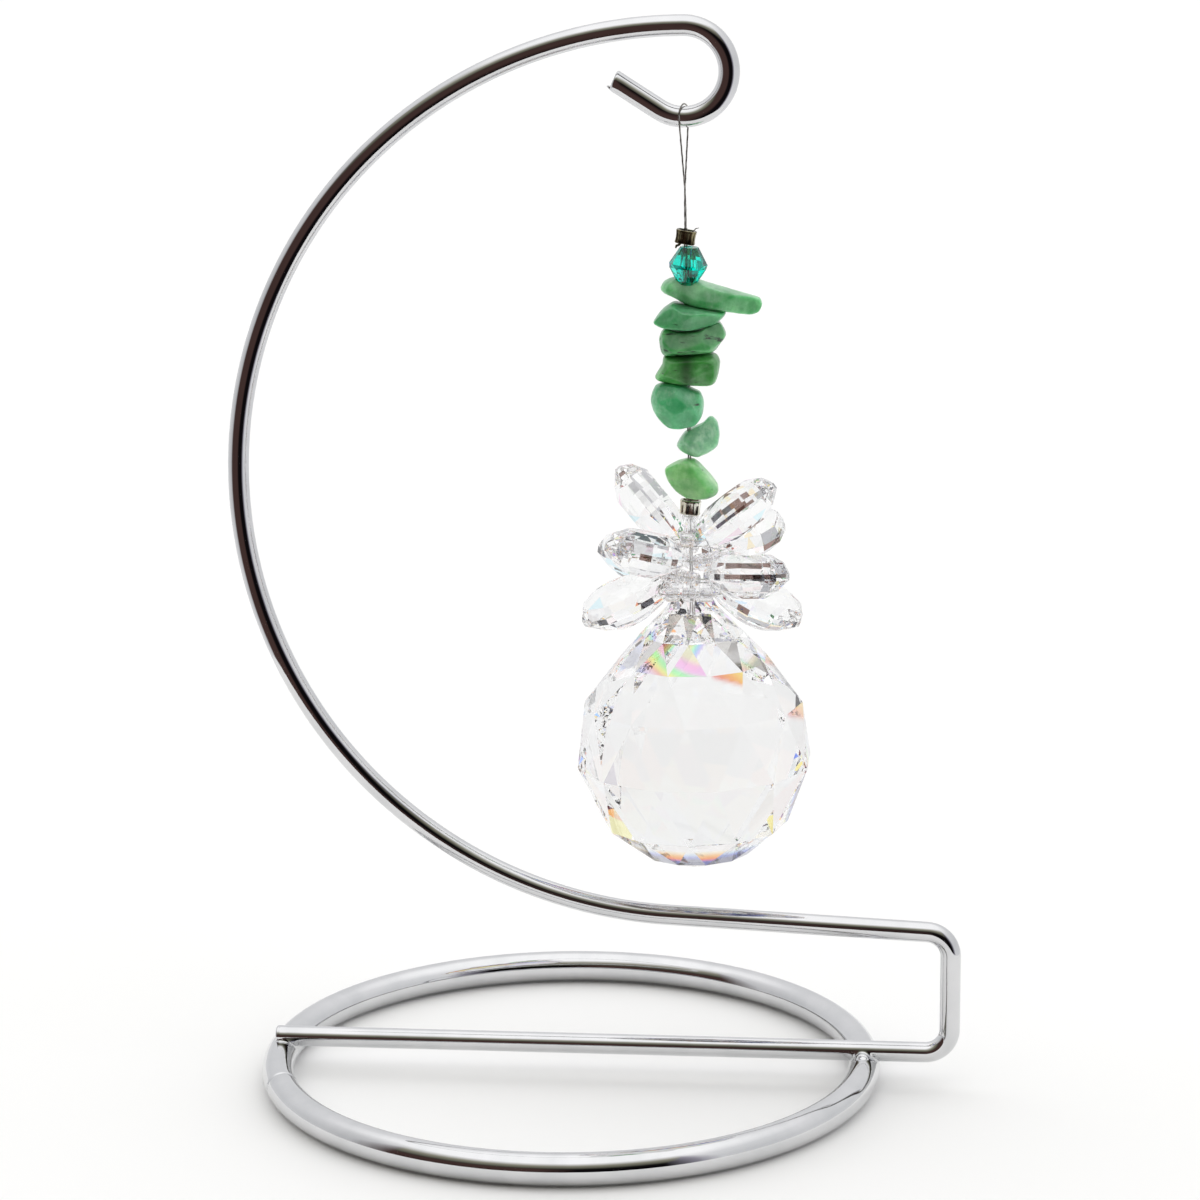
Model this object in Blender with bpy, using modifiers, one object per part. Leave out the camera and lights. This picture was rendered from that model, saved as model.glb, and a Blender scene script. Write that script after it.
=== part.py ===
"""Crystal suncatcher: a pendant of clear crystal and green stone chips on its own chrome wire stand.

Metres, +Z up. The stand's ring lies on z = 0 and the bent arm lies in the XZ plane. The world's origin is
below the middle of the whole object. Sizes and places are written in the stand's frame, whose origin is the
ring's centre.
"""

import math
import random

import bmesh
import bpy
from mathutils import Matrix, Vector

CLEARANCE = 0.0003

# Stand
RING_DIAMETER = 0.0763  # across the centre line of the ring's wire
RING_WIRE = 0.0041
ARM_WIRE = 0.00265
CHORD_SINK = 0.001  # how far the weld presses the arm into the ring
CHORD_OVERHANG = 0.0007  # chord past the ring's centre line at its free end
UPRIGHT_X = 0.0492
BEND_RADIUS = 0.0032  # the two tight bends, on the centre line
RETURN_HEIGHT = 0.0222  # centre line, where the return bar runs into the big arc
RETURN_SLOPE = math.radians(2.2)
ARC_CENTRE_X = 0.0153
HOOK_RADIUS = 0.0056
HOOK_START = math.radians(90.4)
HOOK_TIP_RISE = math.radians(32.6)
HOOK_TIP_LENGTH = 0.0067

# String
STRAND = 0.0003
STRAND_GAP = 0.00004
STRING_LEAN = math.radians(0.86)
LOOP_LENGTH = 0.0149  # from the upper crimp up to the middle of the hook's wire
LOOP_TURN = math.radians(18)  # the loop crosses the hook a little askew
STONE_STRING = 0.0272  # length of string that the stone chips take
BLIND_BORE_DEPTH = 0.004  # how deep the string goes into the ball's lug

# Metal crimps
CRIMP_WIDTH = 0.0026
CRIMP_DEPTH = 0.0019
CRIMP_LENGTH = 0.0019
CRIMP_EDGE = 0.0003
UPPER_CRIMP_TILT = math.radians(8)

# Teal bicone
BICONE_DIAMETER = 0.0048
BICONE_LENGTH = 0.0047
BICONE_RIM = 0.0023
BICONE_GIRDLE_SHARE = 0.1  # height of the girdle's zigzag beside the bead's length
BICONE_SIDES = 10
BICONE_TILT = math.radians(5)

# Clear spacer above the crown
SPACER_DIAMETER = 0.0025
SPACER_LENGTH = 0.0021
SPACER_RIM_SHARE = 0.8
SPACER_GIRDLE_SHARE = 0.125  # the girdle's height above and below the middle, beside the bead's length
SPACER_SIDES = 8

# Faceted ball. It hangs clear of the return bar, and its top is a blunt cone with a short lug.
BALL_LIFT = 0.0059
BALL_DIAMETER = 0.0304
BALL_SIDES = 12
BALL_LATITUDES = (51, 24, -6, -39, -63, -79)
# Radius and height of the cone's rows, as shares of the ball's radius
SHOULDER_SHARES = ((0.24, 1.200), (0.433, 1.000))
LUG_FOOT_DIAMETER = 0.0070
LUG_TOP_DIAMETER = 0.0048
LUG_HEIGHT = 0.0018
LUG_SIDES = 16
LUG_ROOT = 0.0005  # how deep the lug is rooted in the cone

# Crown petals
PETAL_LENGTH = 0.0122
PETAL_WIDTH = 0.0086
PETAL_THICKNESS = 0.0054
PETAL_GIRDLE = 0.0005
PETAL_END_WIDTH = 0.0026
PETAL_OUTLINE_SHARES = (0, 0.12, 0.36, 0.62, 0.86, 1)  # corners of the girdle, as shares of the length
# Corners of a petal's faces: share of its length, share of its width there, share of its thickness
PETAL_FACET_SHARES = (
    (0.16, 0.75, 0.42),
    (0.40, 0.40, 1.00),
    (0.55, 0.78, 0.68),
    (0.68, 0.40, 1.00),
    (0.90, 0.72, 0.60),
)
PETAL_BORE_INSET = 0.0016
PETAL_SKEW = 1.16  # moves the widest place towards the tip
PETAL_FULLNESS = 0.8  # under 1 makes the outline fuller than a sine

# Each tier's fine wire loop and the clear beads on it
TIER_WIRE = 0.0003
TIER_LOOP_DEPTH = 0.0068
LOOP_POINTS = 20
LOOP_SQUARENESS = 6
SMALL_BEAD = 0.0018
SMALL_BEAD_LENGTH = 0.0018
SMALL_BEAD_RIM_SHARE = 0.8
SMALL_BEAD_SLACK = 0.0001  # room for the bent wire in a small bead's bore
CROWN_HEADROOM = 0.0006  # between the top tier's beads and the spacer

# Each tier of petals: height above the ball's lug, the tier's turn about the string, and for its left and
# right petal the distance of the inner end from the string, how far the petal rises and how far it is rolled
# about its own length
TIERS = (
    {"height": 0.0068, "turn": 0, "insets": (0.0015, 0.0008), "rises": (51, 38), "rolls": (12, -12)},
    {"height": 0.0049, "turn": 46, "insets": (0.0015, 0.0030), "rises": (15, 13), "rolls": (-4, 10)},
    {"height": 0.0031, "turn": -39, "insets": (0.0030, 0.0033), "rises": (4, 8), "rolls": (8, -8)},
    {"height": 0.0015, "turn": 0, "insets": (0.0026, 0.0025), "rises": (-24, -22), "rolls": (-10, 8)},
)

# Each stone chip: its middle's height above the lower crimp, how far its middle lies to the right of the
# string and behind it, its size across, up and front to back, tilt and roll in degrees, how square its outline
# is, and how much thinner its right end is
CHIPS = (
    {
        "height": 0.0253, "offset": 0.0029, "behind": 0.0010, "size": (0.0130, 0.0025, 0.0054),
        "tilt": -11, "roll": 9, "square": 3.6, "taper": -0.1,
    },
    {
        "height": 0.0228, "offset": -0.0001, "behind": 0.0, "size": (0.0088, 0.0025, 0.0064),
        "tilt": 3, "roll": 13, "square": 2.2, "taper": 0.3,
    },
    {
        "height": 0.0201, "offset": 0.0005, "behind": 0.0, "size": (0.0084, 0.0028, 0.0064),
        "tilt": 6, "roll": 13, "square": 3.0, "taper": -0.15,
    },
    {
        "height": 0.0167, "offset": -0.0002, "behind": 0.0, "size": (0.0080, 0.0031, 0.0058),
        "tilt": -1, "roll": 13, "square": 5.0, "taper": -0.1,
    },
    {
        "height": 0.0120, "offset": -0.0014, "behind": -0.0003, "size": (0.0067, 0.0059, 0.0050),
        "tilt": -12, "roll": 0, "square": 2.8, "taper": 0.15,
    },
    {
        "height": 0.0075, "offset": 0.0011, "behind": 0.0010, "size": (0.0063, 0.0040, 0.0044),
        "tilt": 38, "roll": 0, "square": 2.6, "taper": -0.2,
    },
    {
        "height": 0.0026, "offset": 0.0001, "behind": -0.0001, "size": (0.0076, 0.0041, 0.0050),
        "tilt": -33, "roll": 0, "square": 2.4, "taper": -0.1,
    },
)
CHIP_WEAR = 0.08  # share by which a tumbled corner wanders in or out
CHIP_OUTLINE_POINTS = 8
# Share of a chip's depth, share of its outline there
CHIP_SLICE_SHARES = ((-0.5, 0.6), (-0.2, 1.0), (0.2, 1.0), (0.5, 0.6))
CHIP_CAGE_GROWTH = 1.10  # the smoothing draws the cage in by this much

BEND_STEPS = 5
BIG_ARC_STEPS = 40
HOOK_STEPS = 16
STRAND_STEPS = 8
SADDLE_STEPS = 12
RING_STEPS = 56
RING_SIDES = 12
SEAT_SIDES = 16
STRING_BORE_SIDES = 10
PETAL_BORE_SIDES = 8
SMALL_BEAD_SIDES = 6
MERGE_DISTANCE = 0.00001
FLAT_ANGLE = math.radians(0.2)  # faces of a gem this nearly level are one facet

ring_radius = RING_DIAMETER / 2
ring_wire_radius = RING_WIRE / 2
arm_radius = ARM_WIRE / 2
chord_height = RING_WIRE + arm_radius - CHORD_SINK
strand_radius = STRAND / 2
string_bore_diameter = 2 * STRAND + STRAND_GAP + 2 * CLEARANCE
petal_bore_diameter = TIER_WIRE + 2 * CLEARANCE
small_bead_bore_diameter = petal_bore_diameter + SMALL_BEAD_SLACK

# Heights of what hangs on the string, from the ball up: the arm is bent as high as the pendant needs
ball_radius = BALL_DIAMETER / 2
ball_height = RETURN_HEIGHT + arm_radius + BALL_LIFT + ball_radius
cone_top = ball_radius * SHOULDER_SHARES[0][1]
lug_top = cone_top + LUG_HEIGHT
crown_top = ball_height + lug_top + TIERS[0]["height"] + SMALL_BEAD / 2
spacer_height = crown_top + CROWN_HEADROOM + SPACER_LENGTH / 2
lower_crimp_height = spacer_height + (SPACER_LENGTH + CRIMP_LENGTH) / 2 + CLEARANCE
stone_foot = lower_crimp_height + CRIMP_LENGTH / 2
bicone_height = stone_foot + STONE_STRING + BICONE_LENGTH / 2
upper_crimp_height = bicone_height + (BICONE_LENGTH + CRIMP_LENGTH) / 2 + CLEARANCE
hook_height = upper_crimp_height + LOOP_LENGTH + HOOK_RADIUS
arc_radius = (hook_height - RETURN_HEIGHT + HOOK_RADIUS * math.sin(HOOK_START)) / (1 + math.sin(HOOK_START))

arc_centre = Vector((ARC_CENTRE_X, 0, RETURN_HEIGHT + arc_radius))
hook_direction = Vector((math.cos(HOOK_START), 0, math.sin(HOOK_START)))
hook_centre = arc_centre + (arc_radius - HOOK_RADIUS) * hook_direction
hook_bottom = hook_centre - Vector((0, 0, HOOK_RADIUS))
string_tilt = Matrix.Rotation(-STRING_LEAN, 4, "Y")
middle_x = (UPRIGHT_X + ARC_CENTRE_X - arc_radius) / 2


def on_string(height):
    """The point of the string's line at this height."""
    return Vector((hook_bottom.x + (hook_bottom.z - height) * math.tan(STRING_LEAN), 0, height))


def string_frame(height):
    """The frame that a bead on the string is placed by: its origin on the string, its Z along it."""
    return Matrix.Translation(on_string(height)) @ string_tilt


def clear_scene():
    for item in list(bpy.data.objects):
        bpy.data.objects.remove(item, do_unlink=True)


def make_collection(name):
    collection = bpy.data.collections.new(name)
    bpy.context.scene.collection.children.link(collection)
    return collection


def make_stand_frame():
    """The empty that carries every piece. It is at the ring's centre."""
    frame = bpy.data.objects.new("stand_frame", None)
    parts.objects.link(frame)
    frame.location = (-middle_x, 0, 0)
    return frame


def make_material(name, colour, roughness, metallic=0.0, transmission=0.0, ior=1.5):
    made = bpy.data.materials.new(name)
    made.use_nodes = True
    shader = made.node_tree.nodes["Principled BSDF"]
    shader.inputs["Base Color"].default_value = (*colour, 1.0)
    shader.inputs["Roughness"].default_value = roughness
    shader.inputs["Metallic"].default_value = metallic
    shader.inputs["Transmission Weight"].default_value = transmission
    shader.inputs["IOR"].default_value = ior
    made.diffuse_color = (*colour, 1.0)
    return made


def add_object(name, data, look, collection, frame=None):
    """An object of this mesh or curve, placed by this matrix in the stand's frame."""
    made = bpy.data.objects.new(name, data)
    collection.objects.link(made)
    made.parent = stand_frame
    if look is not None:
        data.materials.append(look)
    if frame is not None:
        made.matrix_basis = frame
    return made


def add_cutter(name, data, frame):
    made = add_object(name, data, None, cutters, frame)
    made.hide_render = True
    made.display_type = "WIRE"
    return made


def cut(target, cutter, operation="DIFFERENCE"):
    modifier = target.modifiers.new("Cut " + cutter.name, "BOOLEAN")
    modifier.operation = operation
    modifier.object = cutter


def cylinder_mesh(name, radius, length, sides):
    """A closed cylinder along Z, its middle at the origin."""
    made = bmesh.new()
    bmesh.ops.create_cone(
        made, cap_ends=True, segments=sides, radius1=radius, radius2=radius, depth=length
    )
    mesh = bpy.data.meshes.new(name)
    made.to_mesh(mesh)
    made.free()
    return mesh


def hull_mesh(name, points):
    """The flat-faced gem whose corners are these points."""
    made = bmesh.new()
    for point in points:
        made.verts.new(point)
    result = bmesh.ops.convex_hull(made, input=made.verts)
    spare = set(result["geom_interior"] + result["geom_unused"]) & set(made.verts)
    bmesh.ops.delete(made, geom=list(spare), context="VERTS")
    bmesh.ops.dissolve_limit(made, angle_limit=FLAT_ANGLE, verts=made.verts, edges=made.edges)
    bmesh.ops.recalc_face_normals(made, faces=made.faces)
    mesh = bpy.data.meshes.new(name)
    made.to_mesh(mesh)
    made.free()
    return mesh


def gem_row(radius, height, sides, turned=0.0):
    """A row of corners round Z, turned by this share of a step."""
    return [
        Vector((radius * math.cos(angle), radius * math.sin(angle), height))
        for angle in ((index + turned) * 2 * math.pi / sides for index in range(sides))
    ]


def turned_ring(name, profile, steps, look, frame=None):
    """A closed profile of (radius, height) points turned about Z."""
    mesh = bpy.data.meshes.new(name)
    made = bmesh.new()
    corners = [made.verts.new((radius, 0, height)) for radius, height in profile]
    for first, second in zip(corners, corners[1:] + corners[:1]):
        made.edges.new((first, second))
    made.to_mesh(mesh)
    made.free()
    turned = add_object(name, mesh, look, parts, frame)
    screw = turned.modifiers.new("Turn", "SCREW")
    screw.steps = steps
    screw.render_steps = steps
    screw.use_merge_vertices = True
    screw.merge_threshold = MERGE_DISTANCE
    screw.use_smooth_shade = False
    return turned


def wire(name, points, radius, look, sides_level, closed=False):
    """A bent wire along these points, its ends capped."""
    curve = bpy.data.curves.new(name, "CURVE")
    curve.dimensions = "3D"
    curve.bevel_depth = radius
    curve.bevel_resolution = sides_level
    curve.use_fill_caps = not closed
    spline = curve.splines.new("POLY")
    spline.points.add(len(points) - 1)
    spline.use_cyclic_u = closed
    for target, point in zip(spline.points, points):
        target.co = (*point, 1.0)
    return add_object(name, curve, look, parts)


def arc(centre, radius, start, end, steps):
    """Points of an arc in the XZ plane, from one angle to another."""
    angles = (start + (end - start) * index / steps for index in range(steps + 1))
    return [centre + radius * Vector((math.cos(angle), 0, math.sin(angle))) for angle in angles]


def arm_route():
    """The centre line of the arm's wire, from the free end of its chord to the tip of its hook."""
    right = 0.0
    up = math.pi / 2
    down = -math.pi / 2
    lower_bend = Vector((UPRIGHT_X - BEND_RADIUS, 0, chord_height + BEND_RADIUS))
    bar_end = arc(arc_centre, arc_radius, down - RETURN_SLOPE, down - RETURN_SLOPE, 1)[0]
    bar_height_at_upright = bar_end.z - (UPRIGHT_X - bar_end.x) * math.tan(RETURN_SLOPE)
    bend_drop = BEND_RADIUS * math.tan((up + RETURN_SLOPE) / 2)
    upper_bend = Vector((UPRIGHT_X - BEND_RADIUS, 0, bar_height_at_upright - bend_drop))
    tip_direction = Vector((-math.cos(HOOK_TIP_RISE), 0, math.sin(HOOK_TIP_RISE)))
    route = [Vector((-ring_radius - CHORD_OVERHANG, 0, chord_height))]
    route += arc(lower_bend, BEND_RADIUS, down, right, BEND_STEPS)
    route += arc(upper_bend, BEND_RADIUS, right, up - RETURN_SLOPE, BEND_STEPS)
    route += arc(arc_centre, arc_radius, 2 * math.pi + down - RETURN_SLOPE, HOOK_START, BIG_ARC_STEPS)
    route += arc(hook_centre, HOOK_RADIUS, HOOK_START, down - HOOK_TIP_RISE, HOOK_STEPS)[1:]
    route.append(route[-1] + HOOK_TIP_LENGTH * tip_direction)
    return route


def string_route():
    """The centre line of the string: up one strand from the ball, over the hook and down the other."""
    across = Vector((-math.sin(LOOP_TURN), -math.cos(LOOP_TURN), 0))
    close = strand_radius + STRAND_GAP / 2
    wide = (arm_radius + strand_radius + CLEARANCE) / math.cos(LOOP_TURN)
    foot = ball_height + lug_top - BLIND_BORE_DEPTH + CLEARANCE
    fork = upper_crimp_height + CRIMP_LENGTH
    strand = [on_string(foot) + across * close]
    for index in range(STRAND_STEPS):
        share = index / STRAND_STEPS
        spread = close + (wide - close) * (1 - math.cos(math.pi * share)) / 2
        strand.append(on_string(fork + (hook_bottom.z - fork) * share) + across * spread)
    saddle = []
    for index in range(SADDLE_STEPS + 1):
        angle = math.pi * index / SADDLE_STEPS
        saddle.append(hook_bottom + across * wide * math.cos(angle) + Vector((0, 0, wide * math.sin(angle))))
    centre = [on_string(point.z) for point in strand]
    other = [2 * middle - point for middle, point in zip(centre, strand)]
    return strand + saddle + other[::-1]


def make_ring():
    """The base ring, with a flat underside and a seat for the arm at each crossing."""
    corner_radius = ring_wire_radius / math.cos(math.pi / RING_SIDES)
    profile = [
        (ring_radius + corner_radius * math.cos(angle), ring_wire_radius + corner_radius * math.sin(angle))
        for angle in (math.pi / 2 - (index + 0.5) * 2 * math.pi / RING_SIDES for index in range(RING_SIDES))
    ]
    ring = turned_ring("base_ring", profile, RING_STEPS, chrome)
    seat = cylinder_mesh("arm_seat", arm_radius + CLEARANCE, 2 * (ring_radius + RING_WIRE), SEAT_SIDES)
    frame = Matrix.Translation((0, 0, chord_height)) @ Matrix.Rotation(math.pi / 2, 4, "Y")
    cut(ring, add_cutter("arm_seat", seat, frame))


def make_string_bore():
    """The cutter that drills every bead on the string."""
    top = upper_crimp_height + CRIMP_LENGTH
    bottom = ball_height + lug_top - BLIND_BORE_DEPTH
    length = (top - bottom) / math.cos(STRING_LEAN)
    mesh = cylinder_mesh("string_bore", string_bore_diameter / 2, length, STRING_BORE_SIDES)
    return add_cutter("string_bore", mesh, string_frame((top + bottom) / 2))


def make_crimp(name, height, tilt=0.0):
    """A pressed metal tube."""
    mesh = bpy.data.meshes.new(name)
    made = bmesh.new()
    bmesh.ops.create_cube(made, size=1, matrix=Matrix.Diagonal((CRIMP_WIDTH, CRIMP_DEPTH, CRIMP_LENGTH, 1)))
    made.to_mesh(mesh)
    made.free()
    crimp = add_object(name, mesh, bronze, parts, string_frame(height) @ Matrix.Rotation(tilt, 4, "Y"))
    bevel = crimp.modifiers.new("Rounded edges", "BEVEL")
    bevel.width = CRIMP_EDGE
    bevel.segments = 2
    cut(crimp, string_bore)


def make_gem(name, rows, height, look, tilt=0.0):
    """A faceted bead on the string, from rows of corners."""
    corners = [corner for row in rows for corner in row]
    frame = string_frame(height) @ Matrix.Rotation(tilt, 4, "Y")
    gem = add_object(name, hull_mesh(name, corners), look, parts, frame)
    cut(gem, string_bore)
    return gem


def make_bicone():
    half = BICONE_LENGTH / 2
    girdle = half * BICONE_GIRDLE_SHARE
    rim_radius = BICONE_RIM / 2
    radius = BICONE_DIAMETER / 2
    rows = [
        gem_row(rim_radius, half, BICONE_SIDES),
        gem_row(radius, girdle, BICONE_SIDES),
        gem_row(radius, -girdle, BICONE_SIDES, 0.5),
        gem_row(rim_radius, -half, BICONE_SIDES, 0.5),
    ]
    make_gem("teal_bicone", rows, bicone_height, teal, BICONE_TILT)


def make_spacer():
    radius = SPACER_DIAMETER / 2
    girdle = SPACER_LENGTH * SPACER_GIRDLE_SHARE
    rows = [
        gem_row(radius * SPACER_RIM_SHARE, SPACER_LENGTH / 2, SPACER_SIDES),
        gem_row(radius, girdle, SPACER_SIDES, 0.5),
        gem_row(radius, -girdle, SPACER_SIDES, 0.5),
        gem_row(radius * SPACER_RIM_SHARE, -SPACER_LENGTH / 2, SPACER_SIDES),
    ]
    make_gem("top_spacer", rows, spacer_height, crystal)


def make_ball():
    """The big ball: rows of triangles between circles of latitude, under a blunt cone and a short lug."""
    circles = [(ball_radius * radius, ball_radius * height) for radius, height in SHOULDER_SHARES]
    for latitude in BALL_LATITUDES:
        angle = math.radians(latitude)
        circles.append((ball_radius * math.cos(angle), ball_radius * math.sin(angle)))
    rows = []
    for index, (radius, height) in enumerate(circles):
        rows.append(gem_row(radius, height, BALL_SIDES, 0.5 * ((index + 1) % 2)))
    ball = make_gem("crystal_ball", rows, ball_height, crystal)
    lug = gem_row(LUG_FOOT_DIAMETER / 2, cone_top - LUG_ROOT, LUG_SIDES)
    lug += gem_row(LUG_TOP_DIAMETER / 2, lug_top, LUG_SIDES, 0.5)
    cut(ball, add_cutter("ball_lug", hull_mesh("ball_lug", lug), string_frame(ball_height)), "UNION")
    ball.modifiers.move(1, 0)


def chip_mesh(name, number, chip):
    """A tumbled chip's cage: an uneven outline, smaller at its front and back."""
    width, height, depth = (length * CHIP_CAGE_GROWTH for length in chip["size"])
    wear = random.Random(number)
    made = bmesh.new()
    rings = []
    for place, share in CHIP_SLICE_SHARES:
        ring = []
        for index in range(CHIP_OUTLINE_POINTS):
            angle = 2 * math.pi * (index + 0.5) / CHIP_OUTLINE_POINTS
            across = math.copysign(abs(math.cos(angle)) ** (2 / chip["square"]), math.cos(angle))
            up = math.copysign(abs(math.sin(angle)) ** (2 / chip["square"]), math.sin(angle))
            up *= 1 - chip["taper"] * across
            worn = share * (1 + wear.uniform(-CHIP_WEAR, CHIP_WEAR))
            ring.append(made.verts.new((across * worn * width / 2, place * depth, up * worn * height / 2)))
        rings.append(ring)
    for near, far in zip(rings, rings[1:]):
        for index in range(CHIP_OUTLINE_POINTS):
            following = (index + 1) % CHIP_OUTLINE_POINTS
            made.faces.new((near[index], near[following], far[following], far[index]))
    made.faces.new(rings[0][::-1])
    made.faces.new(rings[-1])
    bmesh.ops.recalc_face_normals(made, faces=made.faces)
    mesh = bpy.data.meshes.new(name)
    made.to_mesh(mesh)
    made.free()
    return mesh


def make_chip(number, chip):
    name = f"stone_chip_{number}"
    shift = Matrix.Translation((chip["offset"], chip["behind"], 0))
    tilt = Matrix.Rotation(-math.radians(chip["tilt"]), 4, "Y")
    roll = Matrix.Rotation(math.radians(chip["roll"]), 4, "X")
    frame = string_frame(stone_foot + chip["height"]) @ shift @ tilt @ roll
    made = add_object(name, chip_mesh(name, number, chip), stone, parts, frame)
    smooth = made.modifiers.new("Tumbled", "SUBSURF")
    smooth.levels = 1
    smooth.render_levels = 1
    cut(made, string_bore)


def petal_half_width(share):
    """Half the petal's width at this share of its length."""
    end = PETAL_END_WIDTH / 2
    return end + (PETAL_WIDTH / 2 - end) * math.sin(math.pi * share**PETAL_SKEW) ** PETAL_FULLNESS


def petal_mesh(name):
    """A drop with a thin girdle and facets on both faces, its inner end at the origin and its tip at +X."""
    corners = []
    for side in (-1, 1):
        for share in PETAL_OUTLINE_SHARES:
            for level in (-PETAL_GIRDLE / 2, PETAL_GIRDLE / 2):
                corners.append(Vector((PETAL_LENGTH * share, side * petal_half_width(share), level)))
        for face in (-1, 1):
            for share, narrowing, rise in PETAL_FACET_SHARES:
                across = side * petal_half_width(share) * narrowing
                level = face * rise * PETAL_THICKNESS / 2
                corners.append(Vector((PETAL_LENGTH * share, across, level)))
    return hull_mesh(name, corners)


def make_petal(name, frame, roll):
    """A petal, rolled about its own length and drilled across its narrow end."""
    rolled = frame @ Matrix.Rotation(math.radians(roll), 4, "X")
    petal = add_object(name, petal_mesh(name), crystal, parts, rolled)
    bore = cylinder_mesh(name + "_bore", petal_bore_diameter / 2, PETAL_WIDTH, PETAL_BORE_SIDES)
    bore_frame = frame @ Matrix.Translation((PETAL_BORE_INSET, 0, 0)) @ Matrix.Rotation(math.pi / 2, 4, "X")
    cut(petal, add_cutter(name + "_bore", bore, bore_frame))


def loop_points(middle, left, right):
    """A rounded loop through the bores of two petals, in front of the string and behind it."""
    points = []
    for index in range(LOOP_POINTS):
        angle = 2 * math.pi * (index + 0.5) / LOOP_POINTS
        across = math.copysign(abs(math.cos(angle)) ** (2 / LOOP_SQUARENESS), math.cos(angle))
        along = math.copysign(abs(math.sin(angle)) ** (2 / LOOP_SQUARENESS), math.sin(angle))
        point = left.lerp(right, (1 + across) / 2)
        point.y = along * TIER_LOOP_DEPTH / 2
        points.append(middle @ point)
    return points


def make_tier(number, tier):
    """Two petals on a fine wire loop round the string, with small clear beads before and behind it."""
    middle = Matrix.Translation(on_string(ball_height + lug_top + tier["height"]))
    middle = middle @ Matrix.Rotation(math.radians(tier["turn"]), 4, "Z")
    bores = []
    for side, word in enumerate(("left", "right")):
        outward = Matrix.Rotation(math.pi * (1 - side), 4, "Z")
        rise = Matrix.Rotation(-math.radians(tier["rises"][side]), 4, "Y")
        pose = outward @ Matrix.Translation((tier["insets"][side], 0, 0)) @ rise
        make_petal(f"petal_{number}_{word}", middle @ pose, tier["rolls"][side])
        bores.append(pose @ Vector((PETAL_BORE_INSET, 0, 0)))
    left, right = bores
    wire(f"tier_wire_{number}", loop_points(middle, left, right), TIER_WIRE / 2, steel, 1, closed=True)
    slope = math.atan2(right.z - left.z, right.x - left.x)
    loop_frame = middle @ Matrix.Translation((left + right) / 2) @ Matrix.Rotation(-slope, 4, "Y")
    pitch = SMALL_BEAD_LENGTH + CLEARANCE
    in_a_row = int(((right - left).length - petal_bore_diameter) / pitch)
    places = [(index - (in_a_row - 1) / 2) * pitch for index in range(in_a_row)]
    for index, (along, across) in enumerate(((row, place) for row in (-1, 1) for place in places), 1):
        shift = Matrix.Translation((across, along * TIER_LOOP_DEPTH / 2, 0))
        lying = Matrix.Rotation(math.pi / 2, 4, "Y")
        make_small_bead(f"crown_bead_{number}_{index}", loop_frame @ shift @ lying)


def make_small_bead(name, frame):
    half = SMALL_BEAD_LENGTH / 2
    bore = small_bead_bore_diameter / 2
    radius = SMALL_BEAD / 2
    rim = radius * SMALL_BEAD_RIM_SHARE
    profile = [(bore, half), (rim, half), (radius, 0), (rim, -half), (bore, -half)]
    turned_ring(name, profile, SMALL_BEAD_SIDES, crystal, frame)


clear_scene()
parts = make_collection("crystal_suncatcher")
cutters = make_collection("cutters")
stand_frame = make_stand_frame()
chrome = make_material("chrome", (0.78, 0.78, 0.80), 0.06, metallic=1.0)
steel = make_material("string_steel", (0.55, 0.52, 0.48), 0.30, metallic=1.0)
bronze = make_material("crimp_metal", (0.35, 0.29, 0.20), 0.30, metallic=1.0)
teal = make_material("teal_crystal", (0.02, 0.62, 0.55), 0.0, transmission=1.0, ior=1.55)
crystal = make_material("clear_crystal", (1.0, 1.0, 1.0), 0.0, transmission=1.0, ior=1.55)
stone = make_material("green_stone", (0.14, 0.42, 0.22), 0.25)

string_bore = make_string_bore()
make_ring()
wire("wire_arm", arm_route(), arm_radius, chrome, 3)
wire("string_wire", string_route(), strand_radius, steel, 2)
make_crimp("upper_crimp", upper_crimp_height, UPPER_CRIMP_TILT)
make_bicone()
for chip_number, chip_sizes in enumerate(CHIPS, 1):
    make_chip(chip_number, chip_sizes)
make_crimp("lower_crimp", lower_crimp_height)
make_spacer()
for tier_number, tier_sizes in enumerate(TIERS, 1):
    make_tier(tier_number, tier_sizes)
make_ball()
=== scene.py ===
"""Looks of the crystal suncatcher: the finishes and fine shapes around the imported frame.

Metres, +Z up. Places are written in the stand's frame, whose origin is the base ring's centre, and every
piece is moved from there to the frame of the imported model.
"""

import math
import random

import bmesh
import bpy
from mathutils import Matrix, Vector, noise


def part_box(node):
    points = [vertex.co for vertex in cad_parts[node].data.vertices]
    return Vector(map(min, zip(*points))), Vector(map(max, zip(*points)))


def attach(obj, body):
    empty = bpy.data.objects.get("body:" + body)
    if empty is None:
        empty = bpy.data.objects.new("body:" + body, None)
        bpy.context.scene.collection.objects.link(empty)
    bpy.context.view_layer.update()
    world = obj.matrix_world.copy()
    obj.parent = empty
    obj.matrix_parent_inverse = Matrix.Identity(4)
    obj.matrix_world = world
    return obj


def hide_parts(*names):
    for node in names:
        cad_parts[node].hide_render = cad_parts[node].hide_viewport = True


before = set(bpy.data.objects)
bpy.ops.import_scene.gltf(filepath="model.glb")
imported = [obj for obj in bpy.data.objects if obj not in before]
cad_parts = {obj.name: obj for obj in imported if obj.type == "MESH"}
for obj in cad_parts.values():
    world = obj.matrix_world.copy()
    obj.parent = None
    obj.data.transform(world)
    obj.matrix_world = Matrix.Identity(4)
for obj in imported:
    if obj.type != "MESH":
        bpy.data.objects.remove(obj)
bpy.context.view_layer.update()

ring_low, ring_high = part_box("base_ring")
arm_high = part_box("wire_arm")[1]
ball_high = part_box("crystal_ball")[1]
stand_x = (ring_low.x + ring_high.x) / 2  # the ring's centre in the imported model

# Stand, as in the frame
RING_WIRE_RADIUS = (ring_high.z - ring_low.z) / 2
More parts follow.
